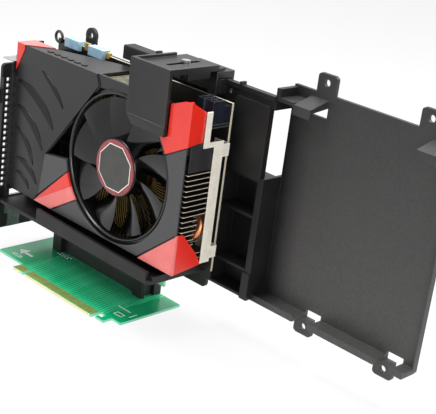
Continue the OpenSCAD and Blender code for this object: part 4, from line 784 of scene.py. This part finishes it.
class CARRIER_OT_make_fan(bpy.types.Operator):
    """Build the fan's hub and twisted blades, its ring with a rounded lip and the many-sided badge"""

    bl_idname = "carrier.make_fan"
    bl_label = "Make the fan"

    def execute(self, context):
        fan = context.scene.carrier_fan
        shaft_r, wall = 1.5, 1.8
        hub = [(shaft_r, HUB_FRONT), (HUB_R - 1.2, HUB_FRONT), (HUB_R - 0.45, HUB_FRONT + 0.15),
               (HUB_R - 0.1, HUB_FRONT + 0.6), (HUB_R, HUB_FRONT + 1.4), (HUB_R, BLADE_BACK),
               (HUB_R - wall, BLADE_BACK), (HUB_R - wall, HUB_FRONT + wall), (shaft_r, HUB_FRONT + wall)]
        pitch = 2 * math.pi / fan.blade_count
        blades = [fan_blade(fan.first_blade + index * pitch) for index in range(fan.blade_count)]
        make_piece("fan_impeller", [turned(hub), *blades], fan_plastic, "fan", 0.0, ("fan_rotor",))

        # the lip: how far in from the ring's outside, and how far behind the lip's front
        lip = COVER_FRONT + 0.9
        section = ((0.0, 1.8), (1.2, 1.6), (1.3, 0.5), (1.7, 0.1), (2.2, 0.0), (2.7, 0.3), (3.2, 1.4), (2.7, 6.0))
        ring = [(FAN_R, RING_BACK), *((FAN_R - inset, lip + depth) for inset, depth in section),
                (FAN_R - 2.0, RING_BACK)]
        bore, motor_r, plate, chamfer = 2.0, 15.4, 2.0, 0.4
        motor = [(bore, RING_BACK - plate), (motor_r - chamfer, RING_BACK - plate),
                 (motor_r, RING_BACK - plate + chamfer), (motor_r, RING_BACK), (bore, RING_BACK)]
        # four round arms from motor plate to ring, each bent along its way
        arm_r, arm_bend = 1.1, 0.25
        share = np.linspace(0, 1, 14)
        reach, sway = 14.0 + (FAN_R - 15.5) * share, arm_bend * np.sin(np.pi * share)
        arms = [tube(ring_points((FAN_X, FAN_Z), RING_BACK - 1.2, reach, start + sway), arm_r, 10)
                for start in np.radians([20, 110, 200, 290])]
        make_piece("fan_ring_lipped", [turned(ring), turned(motor), *arms], ring_plastic, "base", 0.0,
                   ("fan_frame",))

        rim_in, rim_out = HUB_R * 0.76, HUB_R * 0.95
        rim = [(rim_in, BADGE_FRONT + 0.12), (HUB_R * 0.93, BADGE_FRONT + 0.12), (rim_out, BADGE_FRONT + 0.4),
               (rim_out, BADGE_FRONT + 0.8), (rim_in, BADGE_FRONT + 0.8)]
        make_piece("badge_rim", [turned(rim)], badge_red, "fan", 0.0, ("hub_badge",))
        back = BADGE_FRONT + 0.5
        line = prism(many_sided(HUB_R * 0.85), 1, BADGE_FRONT + 0.04, back)
        make_piece("badge_line", [line], badge_cream, "fan", 0.06)
        face = prism(many_sided(HUB_R * 0.815), 1, BADGE_FRONT, back)
        make_piece("badge_face", [face], badge_grey, "fan", 0.1)
        return {"FINISHED"}


class CARRIER_OT_make_cover(bpy.types.Operator):
    """Round the edges of cover, panels and holder, split the red accents and lay ribs, pads and contacts"""

    bl_idname = "carrier.make_cover"
    bl_label = "Make the cover's details"

    def execute(self, context):
        for copied in ROUNDED:
            soft_copy(*copied)
        low, high = COVER
        across, tall = high[0] - low[0], high[2] - low[2]
        # the crease of the lower left accent runs from its left tip to its right edge
        tip = np.array([low[0] + across * 0.171, low[1], low[2] + tall * 0.01])
        end = np.array([low[0] + across * 0.405, low[1], low[2] + tall * 0.232])
        normal = np.cross([0.0, -1.0, 0.0], end - tip)
        # the coral halves are facets lightened as a painted reflection of the bright surroundings; the red halves keep
        # the paint's own colour
        half_copy("accent_bottom_left", "_upper", tip, -normal, red_plastic, True)
        half_copy("accent_bottom_left", "_lower", tip, normal, red_painted_reflection, False)
        front = (0.0, corners("accent_bottom_right")[0, 1] + 1.65, 0.0)
        half_copy("accent_bottom_right", "_front", front, (0.0, 1.0, 0.0), red_painted_reflection, True)
        half_copy("accent_bottom_right", "_side", front, (0.0, -1.0, 0.0), red_plastic, False)
        roof = (0.0, 0.0, COVER_TOP + 0.02)
        half_copy("accent_top_left", "_front", roof, (0.0, 0.0, 1.0), red_plastic, True)
        half_copy("accent_top_left", "_top", roof, (0.0, 0.0, -1.0), red_painted_reflection, False)

        make_piece("panel_ribs", [swept_rib(*rib, COVER_FRONT) for rib in RIBS], gloss_black)

        # the card's top edge: contacts beside the blue covers, and a small loop left of them
        card_front, card_back, foot = 49.7, 51.9, 147.6
        caps = corners("link_caps")
        contacts = [brick((x, card_front, foot), (x + wide, card_back, top)) for x, wide, top in (
            (caps[0, 0] - 3.6, 2.8, 151.2), (caps[0, 0] + 18.4, 4.6, 152.8), (caps[1, 0] + 0.6, 3.0, 151.6))]
        make_piece("link_contacts", contacts, gold, "base", 0.2)
        ring = ring_points((-29.5, 150.6), 48.6, 3.6, np.linspace(0, 2 * np.pi, 40, endpoint=False))
        make_piece("card_loop", [tube(ring, 1.0, 14, closed=True)], slot_plastic)

        # a row of pads along the front of the cover's top
        first, last, pitch, wide, front, back = -4.0, 34.0, 7.0, 4.0, 19.5, 22.5
        pads = [brick((x, front, COVER_TOP - 0.2), (x + wide, back, COVER_TOP + 0.5))
                for x in np.arange(first, last, pitch)]
        make_piece("cover_top_pads", pads, gloss_black, "base", 0.2)
        return {"FINISHED"}


class CARRIER_OT_make_cooler(bpy.types.Operator):
    """Build the bright flat fins, the bent copper pipe and the black wall above them at the card's right end"""

    bl_idname = "carrier.make_cooler"
    bl_label = "Make fins and pipe"

    def execute(self, context):
        cooler = context.scene.carrier_cooler
        pitch, thick = cooler.fin_pitch / MM, cooler.fin_thickness / MM
        # the fins reach from the fan's ring to the stiffener plate, and less far below the plate's step;
        # beside the bend of the pipe their back part stops short
        top, bottom, front, back = 108.6, COVER[0, 2] + 4.0, 18.6, 44.4
        step, upper_right, lower_right = 70.6, 138.35, 137.2
        pipe_low, pipe_high, pipe_right = 58.0, 81.0, 128.5
        room, least = FAN_R + 0.4, 30.0
        fins = []
        for z in np.arange(bottom, top, pitch):
            away = abs(z - FAN_Z)
            reach = math.sqrt(max(room**2 - (away - thick) ** 2, least**2)) if away < room else least
            left, right = FAN_X + reach + 0.3, upper_right if z > step else lower_right
            inner = pipe_right if pipe_low < z < pipe_high else right
            outline = [(left, front), (right - 0.5, front), (right, front + 0.5), (right, 31.0), (inner - 0.1, 31.4),
                       (inner, back), (left, back)]
            fins.append(prism(outline, 2, z, z + thick))
        fins.append(brick((127.0, back - 1.0, bottom), (135.0, back, top)))
        make_piece("flat_fins", fins, fin_metal, "base", 0.0, ("side_fins",))

        # each curved fin runs from the core to the ring and bends as it goes out
        (_, spoke_front, _), (_, spoke_back, _) = corners("radial_fins")
        share = np.linspace(0, 1, 7)
        core = 20.0
        radius = core + (FAN_R - 2.6 - core) * share
        spokes = []
        for turn in np.arange(cooler.spoke_count) * 2 * math.pi / cooler.spoke_count:
            bent = turn + 0.3 * share**1.5
            side = 0.24 * np.stack([-np.sin(bent), np.cos(bent)], axis=-1)
            line = np.stack([FAN_X + radius * np.cos(bent), FAN_Z + radius * np.sin(bent)], axis=-1)
            outline = np.concatenate([line + side, (line - side)[::-1]])
            spokes.append(prism(outline, 1, spoke_front + 0.3, spoke_back - 0.3))
        make_piece("curved_fins", spokes, copper_fins, "base", 0.0, ("radial_fins",))

        # upright fins between the ring and the cover's brow
        first, last, gap, sheet_front, sheet_back = 31.0, 71.0, 2.1, 23.0, 43.0
        plates = []
        for x in np.arange(first, last, gap):
            foot = FAN_Z + math.sqrt((FAN_R + 0.6) ** 2 - (x - FAN_X) ** 2)
            plates.append(brick((x, sheet_front, foot), (x + 0.5, sheet_back, COVER_TOP - 2.6)))
        make_piece("corner_fins", plates, corner_metal)

        # the pipe leaves the fins low and in front, bends round and goes back in behind and above: (y, z) of both legs
        lower, upper, bend, pipe_r = np.array([34.6, 63.4]), np.array([40.6, 77.6]), 7.7, 2.4
        middle, spread = (lower + upper) / 2, (upper - lower) / 2
        turn = np.linspace(-math.pi / 2, math.pi / 2, 25)
        start = 137.3 - bend - pipe_r
        arc = np.stack([start + bend * np.cos(turn), middle[0] + spread[0] * np.sin(turn),
                        middle[1] + spread[1] * np.sin(turn)], axis=-1)
        leg = np.linspace(14.0, 1.0, 6)[:, None] * np.array([-1.0, 0.0, 0.0])
        path = np.concatenate([arc[0] + leg, arc, (arc[-1] + leg)[::-1]])
        plane = np.cross([1.0, 0.0, 0.0], [0.0, *spread])
        make_piece("bent_pipe", [tube(path, pipe_r, 20, plane)], copper, "base", 0.0, ("heat_pipes",))

        wall = brick((137.5, 18.7, 110.2), (138.3, 37.2, 128.0))
        make_piece("cover_end_wall", [wall], slot_plastic, "base", 0.2)
        return {"FINISHED"}


class CARRIER_OT_make_riser(bpy.types.Operator):
    """Lay the riser's contact pads, bevelled edge, solder beads and plain silkscreen marks"""

    bl_idname = "carrier.make_riser"
    bl_label = "Make the riser's details"

    def execute(self, context):
        pitch = context.scene.carrier_riser.pad_pitch / MM
        (left, front, _), (right, back, _) = corners("riser_fingers")
        thick = -corners("riser_board")[0, 2]
        # no pad lies on the key slot; a pad covers two thirds of its pitch, on both faces of the tab
        key_left, key_right, pad_share, pad_thick = 10.6, 13.4, 0.66, 0.05
        places = np.arange(left, right - pitch * 0.5, pitch)
        places = places[(places < key_left) | (places > key_right)]
        pads = [brick((x, front, z), (x + pitch * pad_share, back, z + pad_thick))
                for x in places for z in (0.0, -thick)]
        make_piece("riser_pads", pads, gold, "base", 0.0, ("riser_fingers",))
        # the bare edge runs on both sides of the key slot
        runs = ((0.8, 10.8), (14.0, 84.4))
        edge = [brick((x0, -0.04, -thick + 0.15), (x1, 0.3, 0.02)) for x0, x1 in runs]
        make_piece("riser_bevel", edge, cream_laminate, "base", 0.02)

        # two rows of beads, the second set half a step on
        bead = [(0.5, 0.0), (0.45, 0.3), (0.25, 0.5)]
        step, row_gap = 2.6, 2.4
        beads = [bead_at(-3.0 + step * (index + 0.5 * row), 41.6 + row_gap * row, bead)
                 for row in range(2) for index in range(5)]
        make_piece("solder_beads", beads, solder)

        ink_low, ink_high = -0.02, 0.04
        arrow = [(-22.0, 22.4), (-15.5, 17.8), (-15.5, 20.8), (-7.0, 20.8), (-7.0, 23.0), (-15.5, 23.0), (-15.5, 27.0)]
        bars = [*frame_mark(-19.0, 13.2, 9.0, 2.6, 0.6), *frame_mark(90.5, 14.5, 7.0, 4.2, 0.6),
                ((84.0, 24.0), (96.0, 24.7)), ((100.4, 19.0), (101.1, 26.0))]
        marks = [prism(arrow, 2, ink_low, ink_high)]
        marks += [brick((*low, ink_low), (*high, ink_high)) for low, high in bars]
        make_piece("riser_marks", marks, silkscreen)
        return {"FINISHED"}


class CARRIER_OT_make_stage(bpy.types.Operator):
    """Lay a pale floor, hang soft studio lights and set the camera at the photograph's angle"""

    bl_idname = "carrier.make_stage"
    bl_label = "Make the stage"

    def execute(self, context):
        settings = context.scene.carrier_stage
        scene = context.scene
        half = settings.floor_size / 2
        mesh = bpy.data.meshes.new("stage_floor")
        mesh.from_pydata([(-half, -half, 0), (half, -half, 0), (half, half, 0), (-half, half, 0)], [], [(0, 1, 2, 3)])
        floor = bpy.data.objects.new("stage_floor", mesh)
        scene.collection.objects.link(floor)
        # white paper: it keeps the object's shadow, and what camera and gloss see of it is lifted towards white
        made = bpy.data.materials.new("paper_backdrop_white")
        made.use_nodes = True
        tree = made.node_tree
        tree.nodes.clear()
        matte = add_node(tree, "ShaderNodeBsdfDiffuse", {"Color": paint("#e8e8e8")})
        glow = add_node(tree, "ShaderNodeEmission", {"Color": paint("#ffffff"), "Strength": 1.0})
        share = add_node(tree, "ShaderNodeMath", {0: seen_by(tree, "Camera", "Glossy"), 1: 0.86},
                         operation="MULTIPLY")
        blend = add_node(tree, "ShaderNodeMixShader", {0: share.outputs[0], 1: matte.outputs[0], 2: glow.outputs[0]})
        add_node(tree, "ShaderNodeOutputMaterial", {"Surface": blend.outputs[0]})
        mesh.materials.append(made)

        # a white studio: dim where it lights the object, white where camera, glass and gloss see it
        world = bpy.data.worlds.new("studio_white")
        scene.world = world
        world.use_nodes = True
        tree = world.node_tree
        tree.nodes.clear()
        dim, white = (add_node(tree, "ShaderNodeBackground", {"Color": paint("#ffffff"), "Strength": strength})
                      for strength in (0.3, 1.0))
        seen = seen_by(tree, "Camera", "Transmission", "Glossy")
        blend = add_node(tree, "ShaderNodeMixShader", {0: seen, 1: dim.outputs[0], 2: white.outputs[0]})
        add_node(tree, "ShaderNodeOutputWorld", {"Surface": blend.outputs[0]})

        for name, place, side, setting in LAMPS:
            lamp = bpy.data.lights.new(name, "AREA")
            lamp.shape = "SQUARE"
            lamp.size = side
            lamp.energy = getattr(settings, setting)
            hung = bpy.data.objects.new(name, lamp)
            hung.location = place
            aim = np.array(LAMP_AIM) - np.array(place)
            flat = math.hypot(aim[0], aim[1])
            hung.rotation_euler = (math.atan2(flat, -aim[2]), 0.0, math.atan2(aim[1], aim[0]) - math.pi / 2)
            scene.collection.objects.link(hung)

        lens = bpy.data.cameras.new("camera")
        lens.sensor_width = 36.0
        lens.lens = settings.lens
        camera = bpy.data.objects.new("camera", lens)
        camera.location = from_drawing(*CAMERA_PLACE) * MM
        camera.rotation_euler = [math.radians(angle) for angle in CAMERA_TURN]
        scene.collection.objects.link(camera)
        scene.camera = camera
        scene.view_settings.view_transform = "Standard"
        return {"FINISHED"}


class CARRIER_PT_panel(bpy.types.Panel):
    """Lists the steps that dress the carrier, and their settings"""

    bl_label = "Graphics Card Carrier"
    bl_idname = "CARRIER_PT_panel"
    bl_space_type = "VIEW_3D"
    bl_region_type = "UI"
    bl_category = "Carrier"

    def draw(self, context):
        for step in STEPS:
            self.layout.operator(step.bl_idname)
        for group, kind in SETTINGS.items():
            for name in kind.__annotations__:
                self.layout.prop(getattr(context.scene, group), name)


SETTINGS = {
    "carrier_colors": CarrierColorSettings, "carrier_fan": CarrierFanSettings,
    "carrier_cooler": CarrierCoolerSettings, "carrier_riser": CarrierRiserSettings,
    "carrier_stage": CarrierStageSettings,
}
STEPS = (
    CARRIER_OT_finish_solids, CARRIER_OT_make_fan, CARRIER_OT_make_cover, CARRIER_OT_make_cooler,
    CARRIER_OT_make_riser, CARRIER_OT_make_stage,
)


def register():
    """Makes the add-on's classes known, and hangs its settings on the scene."""
    for made in (*SETTINGS.values(), *STEPS, CARRIER_PT_panel):
        bpy.utils.register_class(made)
    for name, made in SETTINGS.items():
        setattr(bpy.types.Scene, name, bpy.props.PointerProperty(type=made))


def unregister():
    """Takes the settings off the scene, and the classes away."""
    for name in SETTINGS:
        delattr(bpy.types.Scene, name)
    for made in reversed((*SETTINGS.values(), *STEPS, CARRIER_PT_panel)):
        bpy.utils.unregister_class(made)


def main():
    register()
    for step in STEPS:
        group, action = step.bl_idname.split(".")
        getattr(getattr(bpy.ops, group), action)()


if __name__ == "__main__":
    main()
